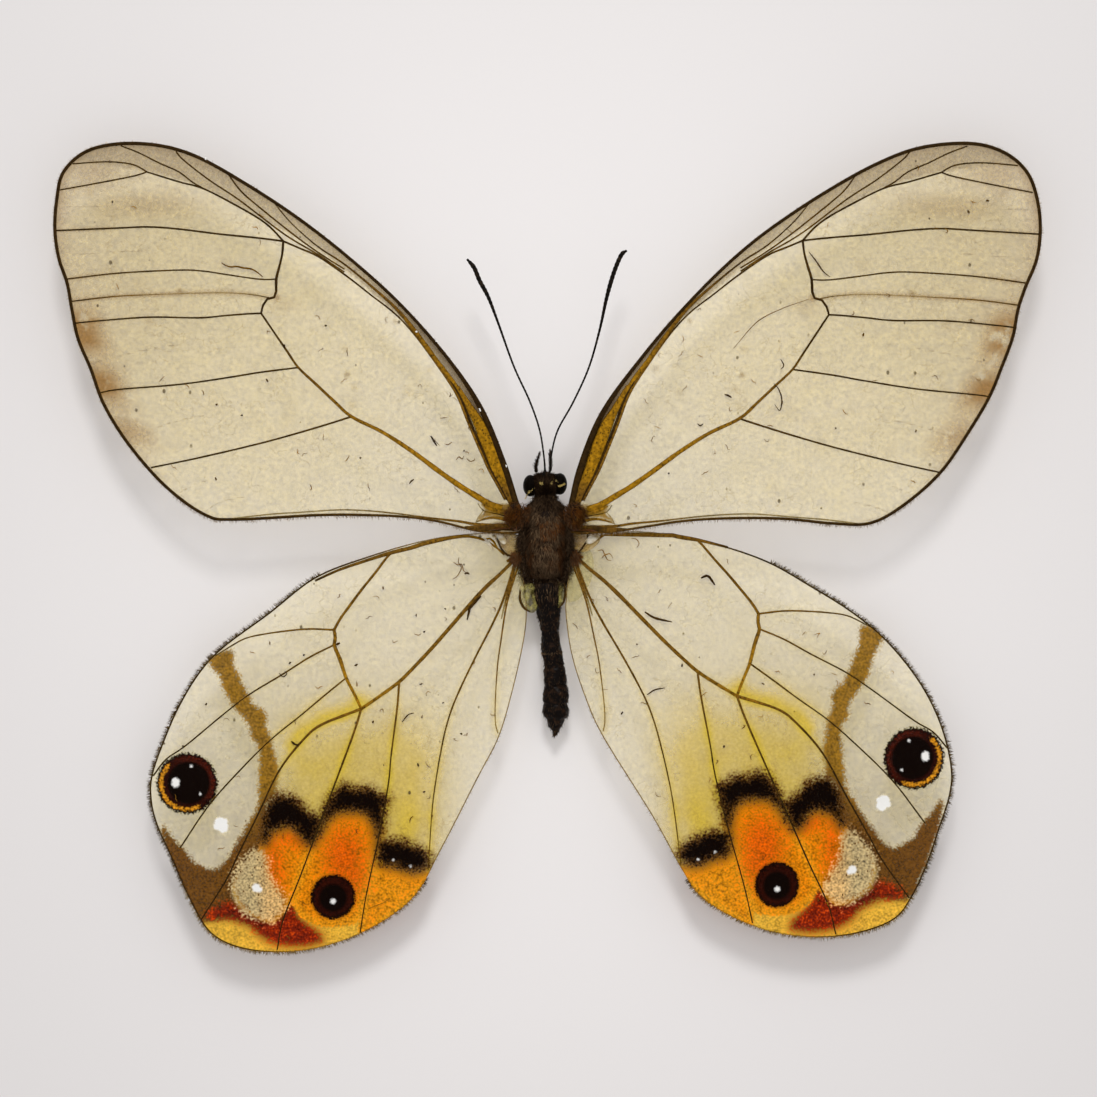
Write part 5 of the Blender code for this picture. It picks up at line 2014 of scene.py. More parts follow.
@dataclass
class Body:
    """Thorax, abdomen, head and limbs."""

    finishes: dict[str, bpy.types.Material]

    abdomen_line: tuple[Point, ...] = (
        (0.07, -3.2, 1.76, 0.92), (0.07, -3.67, 1.75, 0.97), (0.1, -4.2, 1.74, 0.95), (0.2, -5.0, 1.71, 0.82),
        (0.3, -6.33, 1.64, 0.6), (0.4, -7.67, 1.56, 0.65), (0.57, -8.67, 1.51, 0.6),
        (0.63, -9.33, 1.47, 0.74), (0.63, -9.87, 1.45, 0.76), (0.63, -10.13, 1.43, 0.71),
        (0.7, -10.67, 1.41, 0.88), (0.67, -11.33, 1.38, 0.82), (0.69, -11.93, 1.34, 0.88),
        (0.67, -12.47, 1.3, 0.6), (0.68, -13.0, 1.26, 0.33), (0.58, -13.5, 1.22, 0.08),
    )
    segment_ends: tuple[float, ...] = (-4.07, -5.33, -6.47, -7.67, -8.87, -10.07, -11.33, -12.33)
    antennae: dict[Side, tuple[Point, ...]] = field(default_factory=lambda: {
        Side.LEFT: (
            (-0.14, 3.98, 2.98, 0.09), (-0.04, 4.35, 3.12, 0.06), (-0.14, 5.5, 3.15, 0.05),
            (-0.42, 7.1, 3.2, 0.05), (-1.07, 8.95, 3.3, 0.05), (-2.1, 11.2, 3.4, 0.05),
            (-3.15, 14.1, 3.5, 0.06), (-3.8, 15.8, 3.55, 0.09), (-4.38, 16.9, 3.58, 0.12),
            (-4.74, 17.75, 3.6, 0.12), (-5.21, 18.32, 3.6, 0.05)),
        Side.RIGHT: (
            (0.18, 3.98, 2.98, 0.09), (0.31, 4.35, 3.12, 0.06), (0.42, 5.5, 3.15, 0.05),
            (0.83, 7.0, 3.2, 0.05), (1.85, 8.85, 3.3, 0.05), (2.87, 11.1, 3.4, 0.05),
            (3.58, 13.55, 3.5, 0.06), (4.05, 15.7, 3.55, 0.09), (4.5, 17.3, 3.58, 0.12),
            (5.01, 18.55, 3.6, 0.12), (5.4, 18.9, 3.6, 0.05)),
    })
    palps: dict[Side, tuple[Point, ...]] = field(default_factory=lambda: {
        Side.LEFT: ((-0.6, 4.22, 1.9, 0.08), (-0.66, 4.55, 2.1, 0.1), (-0.56, 4.95, 2.3, 0.08),
                    (-0.4, 5.42, 2.42, 0.03)),
        Side.RIGHT: ((0.3, 4.28, 1.9, 0.08), (0.34, 4.65, 2.1, 0.1), (0.32, 5.15, 2.3, 0.08),
                     (0.3, 5.62, 2.42, 0.03)),
    })
    eyes: dict[Side, Point] = field(default_factory=lambda: {
        Side.LEFT: (-1.02, 3.3, 2.25), Side.RIGHT: (0.96, 3.42, 2.25)})
    eye_radii: Point = (0.48, 0.72, 0.78)
    skull_centre: Point = (-0.05, 3.38)
    skull_reach: Point = (0.85, 0.8)
    skull_base: float = 2.2
    skull_height: float = 0.85
    scales_per_mark: int = 60
    tegula_centre: Point = (2.1, 1.42, 3.62)
    tegula_radii: Point = (0.56, 0.74, 0.2)
    foreleg: tuple[Point, ...] = (
        (0.5, 2.3, 0.9, 0.08), (0.62, 2.75, 0.72, 0.09), (0.55, 3.2, 0.8, 0.07), (0.42, 3.55, 1.0, 0.04))
    middle_leg: tuple[Point, ...] = (
        (1.3, 1.2, 0.72, 0.13), (1.4, 0.3, 0.48, 0.15), (1.38, -0.9, 0.26, 0.12), (1.28, -1.9, 0.15, 0.09),
        (1.15, -2.8, 0.1, 0.07), (1.05, -3.6, 0.08, 0.05))
    hind_legs: dict[Side, tuple[Point, ...]] = field(default_factory=lambda: {
        Side.LEFT: ((-1.02, -1.75, 0.62, 0.12), (-1.08, -2.6, 0.6, 0.14), (-0.84, -3.5, 0.5, 0.11),
                    (-0.46, -4.6, 0.26, 0.09), (-0.18, -5.7, 0.13, 0.07), (-0.02, -6.7, 0.09, 0.05)),
        Side.RIGHT: ((1.02, -1.75, 0.62, 0.12), (1.08, -2.6, 0.6, 0.14), (0.94, -3.5, 0.5, 0.11),
                     (0.76, -4.6, 0.26, 0.09), (0.7, -5.7, 0.13, 0.07), (0.68, -6.7, 0.09, 0.05)),
    })
    tongue_centre: Point = (0.0, 3.98, 1.1)
    tongue_reach: Point = (0.42, 0.13)
    tongue_radius: float = 0.055
    tongue_turns: float = 2.0
    face_marks: tuple[tuple[Point, ...], ...] = (
        ((-1.35, 2.43), (-1.03, 2.93), (-0.63, 3.13)), ((-0.35, 3.42), (-0.22, 3.42)),
        ((0.37, 3.4), (0.57, 3.62), (0.77, 3.55)), ((0.9, 3.22), (1.3, 3.4)),
    )

    root_beds: tuple[Bed, ...] = (
        Bed((1.9, 1.4), (0.8, 0.8), (2.98, 3.25), 1050, 0.14, 0.2),
        Bed((1.5, -0.1), (0.32, 1.0), (2.7, 3.05), 900, 0.1),
        Bed((1.48, -1.2), (0.42, 1.7), (1.7, 2.6), 1500, 0.1),
        Bed((1.95, -1.42), (0.42, 0.5), (2.42, 2.62), 300, 0.3, 0.35),
        Bed((1.32, -3.0), (0.34, 0.42), (1.5, 2.3), 380, 0.1, 0.0, 0.1),
    )
    middle_beds: tuple[Bed, ...] = (
        Bed((0.0, 2.52), (0.85, 0.34), (1.4, 2.75), 900, 0.05, 0.0, 0.0),
        Bed((0.05, -3.1), (0.95, 0.36), (1.1, 2.45), 900, 0.08, 0.0, 0.0),
    )

    def thorax(self) -> None:
        """Makes the hairy middle of the body, with its greyish collar and rusty parts."""
        points, ways, faces = wrapped("thorax", 0.09, 0.13)
        skin = make_piece("thorax_skin", points, faces, {}, self.finishes["skin"])
        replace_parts(skin, "thorax")
        fuzz = Fuzz()
        grow(fuzz, points, ways, Coat(6500, 0.42, 0.018, BACKWARD, 0.28, 0.22, 0.16), 11)
        back = (np.abs(points[:, 0]) < 0.95) & (points[:, 2] > 2.0) & (points[:, 1] < 1.3)
        grow(fuzz, points[back], ways[back],
             Coat(2600, 0.36, 0.018, BACKWARD, 0.35, 0.45, 0.34, 0.03, 0.8), 15)
        patch = (np.hypot(points[:, 0] - 0.25, points[:, 1] - 0.3) < 0.65) & (points[:, 2] > 2.5)
        grow(fuzz, points[patch], ways[patch],
             Coat(420, 0.32, 0.018, BACKWARD, 0.4, 0.2, 0.2, 0.6, 0.6), 16)
        neck = (points[:, 1] > 1.5) & (points[:, 2] > 1.0)
        grow(fuzz, points[neck], ways[neck], Coat(1300, 0.5, 0.018, (0.0, 1.0, 0.1), 0.35, 0.08, 0.1), 12)
        for side in Side:
            flank = (points[:, 0] * side.value > 0.8) & (points[:, 2] > 1.3) & (points[:, 1] < 2.4)
            flow = (0.8 * side.value, -1.0, 0.1)
            grow(fuzz, points[flank], ways[flank], Coat(2200, 0.66, 0.019, flow, 0.5, 0.1, 0.12, 0.08), 13)
        rear = (points[:, 1] < -1.8) & (points[:, 2] > 1.0)
        grow(fuzz, points[rear], ways[rear], Coat(1100, 0.6, 0.018, BACKWARD, 0.25, 0.22, 0.2), 14)
        for number, bed in enumerate(self.middle_beds):
            bed.sow(fuzz, 1, 91 + number)
        hair = fuzz.piece("thorax_hair", self.finishes["hair"], "body_fuzz", HAIR_HEIGHTS)
        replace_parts(hair, "thorax")

    def tegula(self, side: Side) -> None:
        """Makes the rusty pad of long hair over a forewing's root.

        Args:
            side: The side of the body.
        """
        centre = np.array(self.tegula_centre) * (side.value, 1, 1)
        radii = np.array(self.tegula_radii) * (0.62, 0.82, 0.6)
        points, faces = ball(centre - (0, 0, 0.04), radii, 24, 14)
        pad = make_piece(f"tegula_{side.word}_pad", points, faces, {}, self.finishes["skin"])
        fuzz = Fuzz()
        ways = close_surface(points, centre, radii)
        flow = (0.35 * side.value, -1.0, 0.0)
        grow(fuzz, points, ways, Coat(620, 0.56, 0.017, flow, 0.18, 0.22, 0.34, 0.3, 1.5), 21 + side.value)
        hair = fuzz.piece(f"tegula_{side.word}_hair", self.finishes["tegula"], "body_fuzz", HAIR_HEIGHTS)
        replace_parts(pad, f"tegula_{side.word}")
        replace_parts(hair, f"tegula_{side.word}")

    def root_tuft(self, side: Side) -> None:
        """Makes the loose hair that hides where the wings meet the thorax.

        Args:
            side: The side of the body.
        """
        fuzz = Fuzz()
        for number, bed in enumerate(self.root_beds):
            bed.sow(fuzz, side.value, 31 + side.value + 4 * number)
        fuzz.piece(f"root_tuft_{side.word}", self.finishes["hair"], "body_fuzz", HAIR_HEIGHTS)

    def abdomen(self) -> None:
        """Makes the ringed, shrivelled abdomen with its sparse hair."""
        path = smooth_path(self.abdomen_line, 0.055)
        v = path[:, 1]
        groove = np.sum([np.exp(-((v - end) / 0.07) ** 2) for end in self.segment_ends], axis=0)
        crest = np.sum([np.exp(-((v - end - 0.22) / 0.14) ** 2) for end in self.segment_ends], axis=0)
        radii = path[:, 3] * (1 - 0.05 * groove + 0.02 * crest)
        radii = np.maximum(radii * (1 + 0.03 * ripple(path[:, 1:2] @ [[1, 0]], 0.4, 2)), 0.02)
        strands = Strands(sides=36)
        strands.add(path[:, :3], radii, 0.88)
        strands.points[0] = roughen(roughen(strands.points[0], 0.55, 0.1, 4.0), 0.2, 0.035, 8.0)
        shell = strands.piece("abdomen_rings", self.finishes["shell"], "dark_chitin")
        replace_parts(shell, "abdomen")
        points = strands.points[0]
        ways = away_from(points, np.repeat(path[:, :3], strands.sides, axis=0))
        fuzz = Fuzz()
        grow(fuzz, points, ways, Coat(2200, 0.2, 0.012, BACKWARD, 0.25, 0.16, 0.12), 41)
        front = points[:, 1] > -4.4
        grow(fuzz, points[front], ways[front], Coat(420, 0.42, 0.015, BACKWARD, 0.2, 0.35, 0.2), 42)
        ring = np.abs(points[:, 1] + 7.9) < 0.1
        grow(fuzz, points[ring], ways[ring], Coat(120, 0.14, 0.012, BACKWARD, 0.3, 0.75, 0.15), 43)
        hair = fuzz.piece("abdomen_hair", self.finishes["hair"], "dark_chitin", HAIR_HEIGHTS)
        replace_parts(hair, "abdomen")

    def head(self) -> None:
        """Makes the head with its short hair, and its marks."""
        points, ways, faces = wrapped("head", 0.07, 0.07)
        skin = make_piece("head_skin", points, faces, {}, self.finishes["skin"])
        fuzz = Fuzz()
        grow(fuzz, points, ways, Coat(3600, 0.36, 0.016, (0.0, 0.5, 0.2), 0.6, 0.06, 0.08), 51)
        for side in Side:
            cheek = points[:, 0] * side.value > 0.25
            grow(fuzz, points[cheek], ways[cheek],
                 Coat(900, 0.5, 0.017, (0.8 * side.value, 0.1, 0.5), 0.7, 0.04, 0.05), 53)
        hair = fuzz.piece("head_hair", self.finishes["hair"], "body_fuzz", HAIR_HEIGHTS)
        for piece in (skin, hair, self.face()):
            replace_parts(piece, "head")

    def face(self) -> bpy.types.Object:
        """Makes the cream marks of short scales that lie on the head and over the eyes.

        Returns:
            The new object.
        """
        pale = Fuzz()
        rng = np.random.default_rng(52)
        count = self.scales_per_mark
        for mark in self.face_marks:
            line = smooth_path(mark, 0.02)
            spots = line[rng.integers(0, len(line), count)] + rng.normal(0, 0.022, (count, 2))
            x, y = spots.T
            heights = self.skull_base + rise(x, y, self.skull_centre, self.skull_reach, self.skull_height)
            for centre in self.eyes.values():
                lift = rise(x, y, centre, self.eye_radii, self.eye_radii[2])
                heights = np.maximum(heights, np.where(lift > 0, centre[2] + lift, 0))
            ways = rng.normal(0, 0.5, (count, 3)) + (0.0, 0.2, 0.8)
            ways /= np.linalg.norm(ways, axis=1, keepdims=True)
            pale.add(np.column_stack([spots, heights - 0.02]), ways, rng.uniform(0.08, 0.16, count),
                     np.full(count, 0.022), np.zeros((count, 3)), rng.uniform(0.7, 1.0, count))
        return pale.piece("head_marks", self.finishes["cream"], "body_fuzz")

    def eye(self, side: Side) -> None:
        """Makes one eye.

        Args:
            side: The side of the body.
        """
        centre = np.array(self.eyes[side])
        points, faces = ball(centre, self.eye_radii, 96, 64)
        ways = close_surface(points, centre, self.eye_radii)
        around = np.arctan2(ways[:, 1], ways[:, 2])
        inward = np.arccos(np.clip(-side.value * ways[:, 0], -1, 1))
        facets = np.cos(30 * inward) * np.cos(26 * around * np.sin(inward))
        collar = np.exp(-((inward - 0.95) / 0.1) ** 2)
        hollow = ramp(inward, 0.9, 0.5)
        points = points + ways * (0.008 * facets + 0.045 * collar - 0.05 * hollow)[:, None]
        piece = make_piece(f"eye_{side.word}_facets", points, faces, {}, self.finishes["eye"])
        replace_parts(piece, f"eye_{side.word}")

    def palp(self, side: Side) -> None:
        """Makes one brush-like palp.

        Args:
            side: The side of the body.
        """
        path = smooth_path(self.palps[side], 0.06)
        strands = Strands(sides=12)
        strands.add(path[:, :3], path[:, 3])
        core = strands.piece(f"palp_{side.word}_core", self.finishes["skin"], "body_fuzz")
        points = strands.points[0]
        ways = away_from(points, np.repeat(path[:, :3], strands.sides, axis=0))
        fuzz = Fuzz()
        grow(fuzz, points, ways, Coat(320, 0.2, 0.011, (0.0, 1.0, 0.2), 0.18, 0.12, 0.12), 61 + side.value)
        hair = fuzz.piece(f"palp_{side.word}_hair", self.finishes["hair"], "body_fuzz")
        for piece in (core, hair):
            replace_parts(piece, f"palp_{side.word}")

    def antenna(self, side: Side) -> None:
        """Makes one jointed feeler with its club.

        Args:
            side: The side of the body.
        """
        path = smooth_path(self.antennae[side], 0.045)
        steps = np.linalg.norm(np.diff(path[:, :3], axis=0), axis=1)
        run = np.concatenate([[0.0], np.cumsum(steps)])
        joint = np.abs(np.sin(math.pi * run / 0.3))
        stout = np.interp(path[:, 1], (4.0, 9.0, 14.0), (1.15, 1.3, 1.4))
        radii = np.minimum(path[:, 3] * stout, 0.15) * (0.88 + 0.16 * joint)
        strands = Strands(sides=10)
        strands.add(path[:, :3], radii, tone=np.clip(1.15 - joint, 0, 1))
        piece = strands.piece(f"antenna_{side.word}_rings", self.finishes["feeler"], "dark_chitin")
        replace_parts(piece, f"antenna_{side.word}")

    def leg(self, kind: str, side: Side, knots: Array, spines: int, length: float) -> None:
        """Makes one leg with its spines or hair.

        Args:
            kind: The kind of leg, as in the names of pieces.
            side: The side of the body that it grows on.
            knots: The points of its middle line, each with its radius.
            spines: How many spines it has.
            length: Their length, in mm.
        """
        path = smooth_path(knots, 0.08)
        strands = Strands(sides=12)
        strands.add(path[:, :3], path[:, 3])
        strands.points[0] = roughen(strands.points[0], 0.25, 0.02, 6.0)
        strands.points[0][:, 2] = np.maximum(strands.points[0][:, 2], 0.01)
        name = f"{kind}_{side.word}"
        limb = strands.piece(name + "_joints", self.finishes["limb"], "dark_chitin")
        points = strands.points[0]
        ways = away_from(points, np.repeat(path[:, :3], strands.sides, axis=0))
        fuzz = Fuzz()
        grow(fuzz, points, ways, Coat(spines, length, 0.009, BACKWARD, 0.35, 0.12, 0.1), 71, above=0.05)
        hair = fuzz.piece(name + "_spines", self.finishes["hair"], "dark_chitin", HAIR_HEIGHTS)
        for piece in (limb, hair):
            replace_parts(piece, name)

    def tongue(self) -> None:
        """Makes the coiled tongue with its fine rings."""
        share = np.linspace(0, 1, 150)
        angle = math.radians(80) + share * self.tongue_turns * math.tau
        reach = np.interp(share, (0, 1), self.tongue_reach)
        x, y, z = self.tongue_centre
        path = np.column_stack([np.full(len(share), x), y - reach * np.cos(angle), z + reach * np.sin(angle)])
        radii = self.tongue_radius * (0.93 + 0.09 * np.abs(np.sin(share * 130)))
        strands = Strands(sides=10)
        strands.add(path, radii)
        piece = strands.piece("proboscis_coil", self.finishes["limb"], "dark_chitin")
        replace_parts(piece, "proboscis")

    def build(self) -> None:
        """Makes all of the body."""
        self.thorax()
        self.abdomen()
        self.head()
        self.tongue()
        for side in Side:
            self.tegula(side)
            self.root_tuft(side)
            self.eye(side)
            self.palp(side)
            self.antenna(side)
            mirror = np.array((side.value, 1, 1, 1))
            self.leg("foreleg", side, np.array(self.foreleg) * mirror, 260, 0.22)
            self.leg("middle_leg", side, np.array(self.middle_leg) * mirror, 160, 0.14)
            self.leg("hind_leg", side, np.array(self.hind_legs[side]), 160, 0.14)


# Dust and debris on the wings


@dataclass(frozen=True)
class Fibre:
    """A bent thread that lies on a wing, by plan points."""

    points: tuple[Point, ...]
    radius: float = 0.035
    tone: float = 0.8


FOREWING_FIBRES = {
    Side.LEFT: (
        Fibre(((21.5, 18.07), (21.3, 17.93), (20.9, 17.8), (20.5, 17.83), (20.03, 17.73), (19.57, 17.67),
               (19.17, 17.47), (18.77, 17.13)), 0.045, 0.6),
        Fibre(((7.63, 6.6), (7.43, 6.27), (7.23, 5.93)), 0.045, 1.0),
        Fibre(((5.95, 5.0), (5.75, 5.2), (5.55, 5.05), (5.45, 5.25)), 0.025, 0.5),
        Fibre(((5.25, 5.1), (5.0, 4.9), (4.75, 4.98), (4.7, 5.1)), 0.025, 0.6),
        Fibre(((8.75, 3.7), (8.95, 3.55), (9.05, 3.4)), 0.04, 0.9),
    ),
    Side.RIGHT: (
        Fibre(((17.5, 18.8), (17.97, 18.2), (18.43, 17.53), (18.9, 17.13)), 0.035, 0.85),
        Fibre(((15.63, 11.67), (15.83, 11.27), (15.63, 11.0)), 0.03, 0.9),
        Fibre(((15.17, 10.07), (15.5, 9.67), (15.7, 9.0), (15.57, 8.27), (15.23, 8.67)), 0.032, 0.9),
        Fibre(((11.9, 9.33), (12.12, 9.28), (12.37, 9.13)), 0.05, 0.9),
        Fibre(((10.1, 7.4), (10.3, 7.27), (10.5, 7.4)), 0.035, 0.9),
        Fibre(((12.5, 12.4), (14.03, 14.13), (15.63, 15.0), (17.5, 15.67)), 0.022, 0.55),
    ),
}
HINDWING_FIBRES = {
    Side.LEFT: (
        Fibre(((4.3, -4.07), (5.03, -4.87), (5.1, -5.13), (5.23, -5.67)), 0.07, 0.9),
        Fibre(((6.15, -1.8), (5.85, -2.0), (5.6, -1.95), (5.45, -2.4), (5.15, -2.55)), 0.025, 0.45),
        Fibre(((5.78, -1.5), (5.8, -1.85), (5.62, -2.2), (5.9, -2.75), (6.2, -2.95)), 0.025, 0.5),
        Fibre(((5.4, -2.6), (5.22, -2.52), (5.08, -2.62)), 0.05, 0.85),
        Fibre(((9.57, -12.47), (9.17, -12.0), (8.77, -11.87)), 0.035, 0.9),
        Fibre(((17.75, -9.2), (17.5, -9.45), (17.25, -9.25), (17.4, -9.05)), 0.03, 0.95),
        Fibre(((16.95, -13.75), (16.7, -13.95), (16.45, -14.0)), 0.05, 1.0),
        Fibre(((13.7, -7.2), (13.85, -7.27), (13.98, -7.33)), 0.06, 0.9),
        Fibre(((11.83, -24.93), (11.17, -24.67), (10.7, -24.47), (10.37, -24.2)), 0.02, 0.15),
    ),
    Side.RIGHT: (
        Fibre(((10.37, -2.87), (10.83, -2.73), (11.3, -3.33)), 0.07, 0.9),
        Fibre(((6.63, -5.13), (7.3, -5.53), (8.43, -5.8)), 0.06, 0.85),
        Fibre(((3.5, -1.05), (3.8, -1.0), (3.98, -1.3), (4.3, -1.25), (4.5, -1.55)), 0.025, 0.3),
        Fibre(((3.75, -1.55), (3.95, -1.35), (4.15, -1.65), (4.4, -1.7)), 0.025, 0.35),
        Fibre(((5.7, -0.2), (6.05, -0.28), (6.25, -0.55), (6.1, -0.85)), 0.02, 0.25),
        Fibre(((6.77, -10.67), (7.3, -10.33), (7.97, -10.2)), 0.04, 0.9),
    ),
}
FOREWING_FLECKS = {
    Side.LEFT: ((28.77, 22.13), (21.83, 8.67), (20.17, 7.93), (18.5, 10.27), (21.9, 3.73), (17.37, 12.6),
                (5.43, 5.6), (12.3, 5.1), (14.6, 13.9)),
    Side.RIGHT: ((29.37, 22.2), (28.1, 21.47), (21.1, 13.3), (19.3, 7.1), (8.2, 4.1), (24.6, 6.9)),
}
HINDWING_FLECKS = {
    Side.LEFT: ((17.03, -8.53), (12.63, -8.67), (10.83, -3.53), (8.1, -6.47), (6.7, -4.93), (8.63, -5.33),
                (11.5, -12.47), (8.23, -12.13), (6.83, -11.2), (8.3, -9.93), (5.63, -13.27), (8.5, -15.33),
                (8.1, -17.13), (24.17, -14.07), (18.37, -7.2), (22.63, -11.27), (16.1, -8.0)),
    Side.RIGHT: ((9.1, -8.7), (14.5, -9.9), (6.1, -7.3), (11.9, -14.1), (17.9, -9.3), (5.1, -11.9)),
}
STRAY_THREADS = 34
CHIPS = ((22.57, 25.0), (8.57, 13.53), (7.23, 12.87), (4.37, 8.33), (2.63, 4.6))


def stray_threads(wing: Wing, count: int, rng: np.random.Generator) -> list[Array]:
    """Scatters fine curly threads over a wing, denser near the body.

    Args:
        wing: The wing.
        count: How many threads at most.
        rng: What draws them.

    Returns:
        The plan points of each thread.
    """
    spots = rng.uniform(wing.edge.min(axis=0), wing.edge.max(axis=0), (count * 12, 2))
    near = rng.uniform(0, 1, len(spots)) < np.exp(-spots[:, 0] / 16.0)
    spots = spots[near & (depth_inside(spots, wing.edge) > 0.7)][:count]
    threads = []
    for spot in spots:
        turns = rng.uniform(0, math.tau) + np.cumsum(rng.normal(0, 0.9, 5))
        steps = np.column_stack([np.cos(turns), np.sin(turns)]) * rng.uniform(0.06, 0.2, (5, 1))
        threads.append(smooth_path(spot + np.cumsum(steps, axis=0), 0.05))
    return threads


def litter(wing: Wing, word: str, fibres: tuple[Fibre, ...], flecks: tuple[Point, ...],
           finish: bpy.types.Material, slot: str, threads: int = 0) -> None:
    """Lays debris on a wing, as one piece.

    Args:
        wing: The wing.
        word: What the piece is called, after the wing's name.
        fibres: The long fibres.
        flecks: The plan points of the flecks.
        finish: The finish.
        slot: Not used.
        threads: How many stray threads to scatter.
    """
    rng = np.random.default_rng(wing.seed + 80)
    strands = Strands(sides=7)
    for fibre in fibres:
        path = smooth_path(fibre.points, 0.08)
        radii = 1.3 * fibre.radius * spread((0.6, 1.0, 1.15, 0.9, 0.5), len(path))
        radii = radii * (1 + 0.25 * ripple(path, 0.2, 5))
        strands.add(wing.stand(path, 0.11 + fibre.radius), radii, tone=fibre.tone)
    for spot in flecks:
        turn = rng.uniform(0, math.pi)
        half = rng.uniform(0.05, 0.13)
        share = np.linspace(-half, half, 5)[:, None]
        path = np.array(spot) + share * (math.cos(turn), math.sin(turn)) + rng.normal(0, 0.012, (5, 2))
        radii = np.array((0.4, 0.9, 1.0, 0.8, 0.3)) * rng.uniform(0.045, 0.075)
        strands.add(wing.stand(path, 0.12), radii, tone=rng.uniform(0.7, 1.0))
    for path in stray_threads(wing, threads, rng):
        radii = spread((0.4, 1.0, 0.9, 0.4), len(path)) * rng.uniform(0.018, 0.034)
        strands.add(wing.stand(path, 0.11), radii, tone=rng.uniform(0.05, 0.6))
    strands.piece(f"{wing.name}_{word}", finish, slot)


# The surface, the light and the camera


@dataclass(frozen=True)
class Stage:
    """A pale surface under soft overhead light, with one lamp from the top of the picture."""

    floor_half: float = 400.0
    floor_gap: float = 0.02
    lamp_place: Point = (0.0, 380.0, 380.0)
    lamp_size: float = 130.0
    lamp_watts: float = 1.05
    sky: float = 0.78
    camera_place: Point = (0.2, -0.9, 206.0)

    def build(self) -> None:
        """Makes the surface, the light and the camera."""
        scene = bpy.context.scene
        half = self.floor_half * MM
        under = -self.floor_gap * MM
        mesh = bpy.data.meshes.new("card")
        corners = [(-half, -half, under), (half, -half, under), (half, half, under), (-half, half, under)]
        mesh.from_pydata(corners, [], [(0, 1, 2, 3)])
        mesh.materials.append(FloorFinish().build())
        card = bpy.data.objects.new("card", mesh)
        scene.collection.objects.link(card)

        world = bpy.data.worlds.new("soft_light")
        world.use_nodes = True
        background = world.node_tree.nodes["Background"]
        background.inputs["Color"].default_value = (1.0, 0.99, 0.985, 1.0)
        background.inputs["Strength"].default_value = self.sky
        scene.world = world

        light = bpy.data.lights.new("lamp", "AREA")
        light.shape = "DISK"
        light.size = self.lamp_size * MM
        light.energy = self.lamp_watts
        lamp = bpy.data.objects.new("lamp", light)
        lamp.location = Vector(self.lamp_place) * MM
        lamp.rotation_euler = Vector(self.lamp_place).to_track_quat("Z", "Y").to_euler()
        scene.collection.objects.link(lamp)

        lens = bpy.data.cameras.new("camera")
        lens.lens = 100.0
        lens.sensor_width = 36.0
        lens.clip_start = 0.01
        camera = bpy.data.objects.new("camera", lens)
        camera.location = Vector(self.camera_place) * MM
        scene.collection.objects.link(camera)
        scene.camera = camera
        scene.view_settings.view_transform = "Standard"


def build_wings(finishes: dict[str, bpy.types.Material]) -> None:
    """Makes the four wings with their veins, fringes and litter.

    Args:
        finishes: Every finish, by name.
    """
    forewing_lies = {Side.LEFT: LEFT_LIE, Side.RIGHT: RIGHT_FOREWING_LIE}
    hindwing_lies = {Side.LEFT: LEFT_LIE, Side.RIGHT: RIGHT_HINDWING_LIE}
    for side in Side:
        number = 100 if side is Side.LEFT else 200
        forewing = Forewing(side, FOREWING_EDGE[side], forewing_lies[side], "forewing", FOREWING_VEINS,
                            2.86, 0.55, 0.2, number)
        hindwing = Hindwing(side, HINDWING_EDGE[side], hindwing_lies[side], "hindwing", HINDWING_VEINS,
                            2.25, 0.35, 0.15, number + 1)
        litter(forewing, "litter", FOREWING_FIBRES[side], FOREWING_FLECKS[side], finishes["vein"],
               "forewing_membrane", STRAY_THREADS)
        litter(hindwing, "litter", HINDWING_FIBRES[side], HINDWING_FLECKS[side], finishes["vein"],
               "hindwing_membrane", STRAY_THREADS)
        if side is Side.LEFT:
            litter(forewing, "chips", (), CHIPS, finishes["chip"], "forewing_membrane")
        for wing, fringe in ((forewing, "pale_fringe"), (hindwing, "dark_fringe")):
            slot = wing.kind + "_membrane"
            wing.film(finishes[wing.kind], slot)
            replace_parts(wing.frame_work(finishes["vein"], slot), wing.name)
            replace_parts(wing.fringe(finishes[fringe], slot), wing.name)


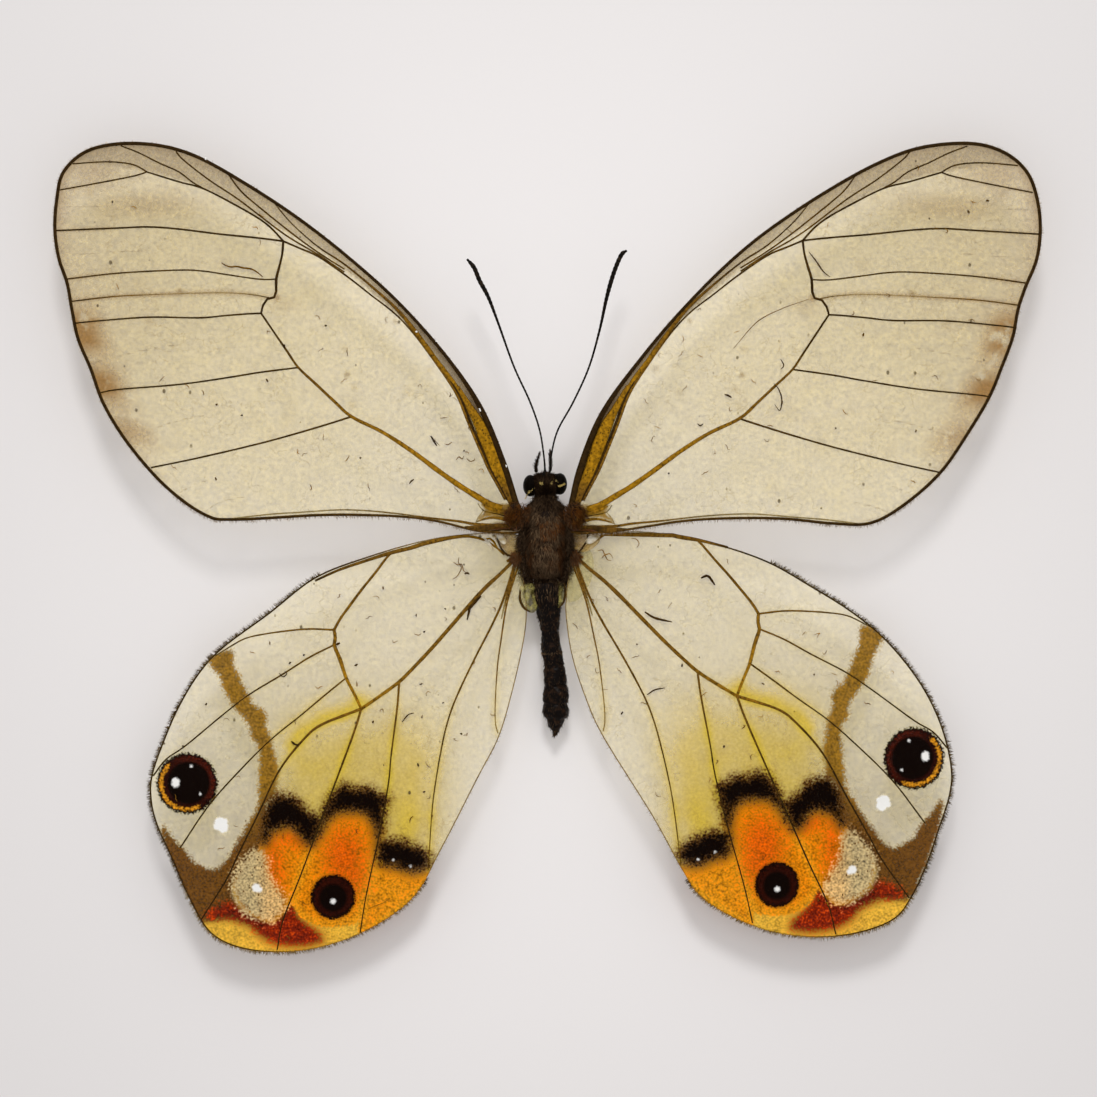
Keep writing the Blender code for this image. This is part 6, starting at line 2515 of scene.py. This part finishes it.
def make_finishes() -> dict[str, bpy.types.Material]:
    """Makes every finish, by the name that the pieces ask for.

    Returns:
        The materials, by name.
    """
    skin = (0.01, 0.005, 0.003)
    rusty = (0.22, 0.07, 0.012)
    plans = {
        "forewing": ForewingFinish(),
        "hindwing": HindwingFinish(),
        "vein": VeinFinish(),
        "skin": ChitinFinish("dark_skin", skin, (0.04, 0.02, 0.01), 0.6, 3.0, 0.05),
        "shell": ChitinFinish("abdomen_shell", (0.003, 0.0015, 0.001), (0.02, 0.009, 0.004), 0.45, 2.6, 0.05),
        "limb": ChitinFinish("limb_shell", skin, (0.055, 0.028, 0.012), 0.5, 4.0, 0.02),
        "feeler": ChitinFinish("feeler_shell", (0.003, 0.002, 0.001), (0.02, 0.012, 0.006), 0.5, 5.0, 0.02),
        "hair": HairFinish("body_hair", (0.012, 0.005, 0.002), (0.26, 0.165, 0.09), rusty),
        "pale_fringe": HairFinish("pale_fringe", (0.16, 0.09, 0.035), (0.76, 0.67, 0.55), rusty),
        "dark_fringe": HairFinish("dark_fringe", (0.045, 0.024, 0.007), (0.42, 0.28, 0.09), rusty),
        "tegula": HairFinish("tegula_hair", (0.014, 0.006, 0.002), (0.17, 0.088, 0.022),
                             (0.17, 0.048, 0.005)),
        "cream": HairFinish("cream_scales", (0.5, 0.33, 0.06), (0.82, 0.63, 0.22), rusty),
        "chip": HairFinish("rim_chips", (0.6, 0.56, 0.5), (0.9, 0.88, 0.84), rusty),
        "eye": EyeFinish(),
        "green": FlapFinish("green_flap", (0.44, 0.38, 0.11), (0.06, 0.045, 0.008), 0.8),
        "faint": FlapFinish("faint_flap", (0.42, 0.4, 0.15), (0.3, 0.28, 0.09), 0.62),
        "glassy": FlapFinish("glassy_flap", (0.52, 0.36, 0.12), (0.3, 0.17, 0.04), 0.72),
        # A painted highlight: a near-white film colour for the glints at the wing roots.
        "glint": FlapFinish("glint_film", (0.86, 0.8, 0.66), (0.5, 0.38, 0.18), 0.8),
    }
    return {name: plan.build() for name, plan in plans.items()}


# Blender seeds its vector noise from the clock, and a set seed gives the same hair in each run
NOISE_SEED = 7


def main() -> None:
    """Builds the looks of the specimen."""
    logging.basicConfig(level=logging.INFO, format="%(name)s %(message)s")
    noise.seed_set(NOISE_SEED)
    finishes = make_finishes()
    build_wings(finishes)
    Body(finishes).build()
    build_root_films(finishes)
    Stage().build()


if __name__ == "__main__":
    main()
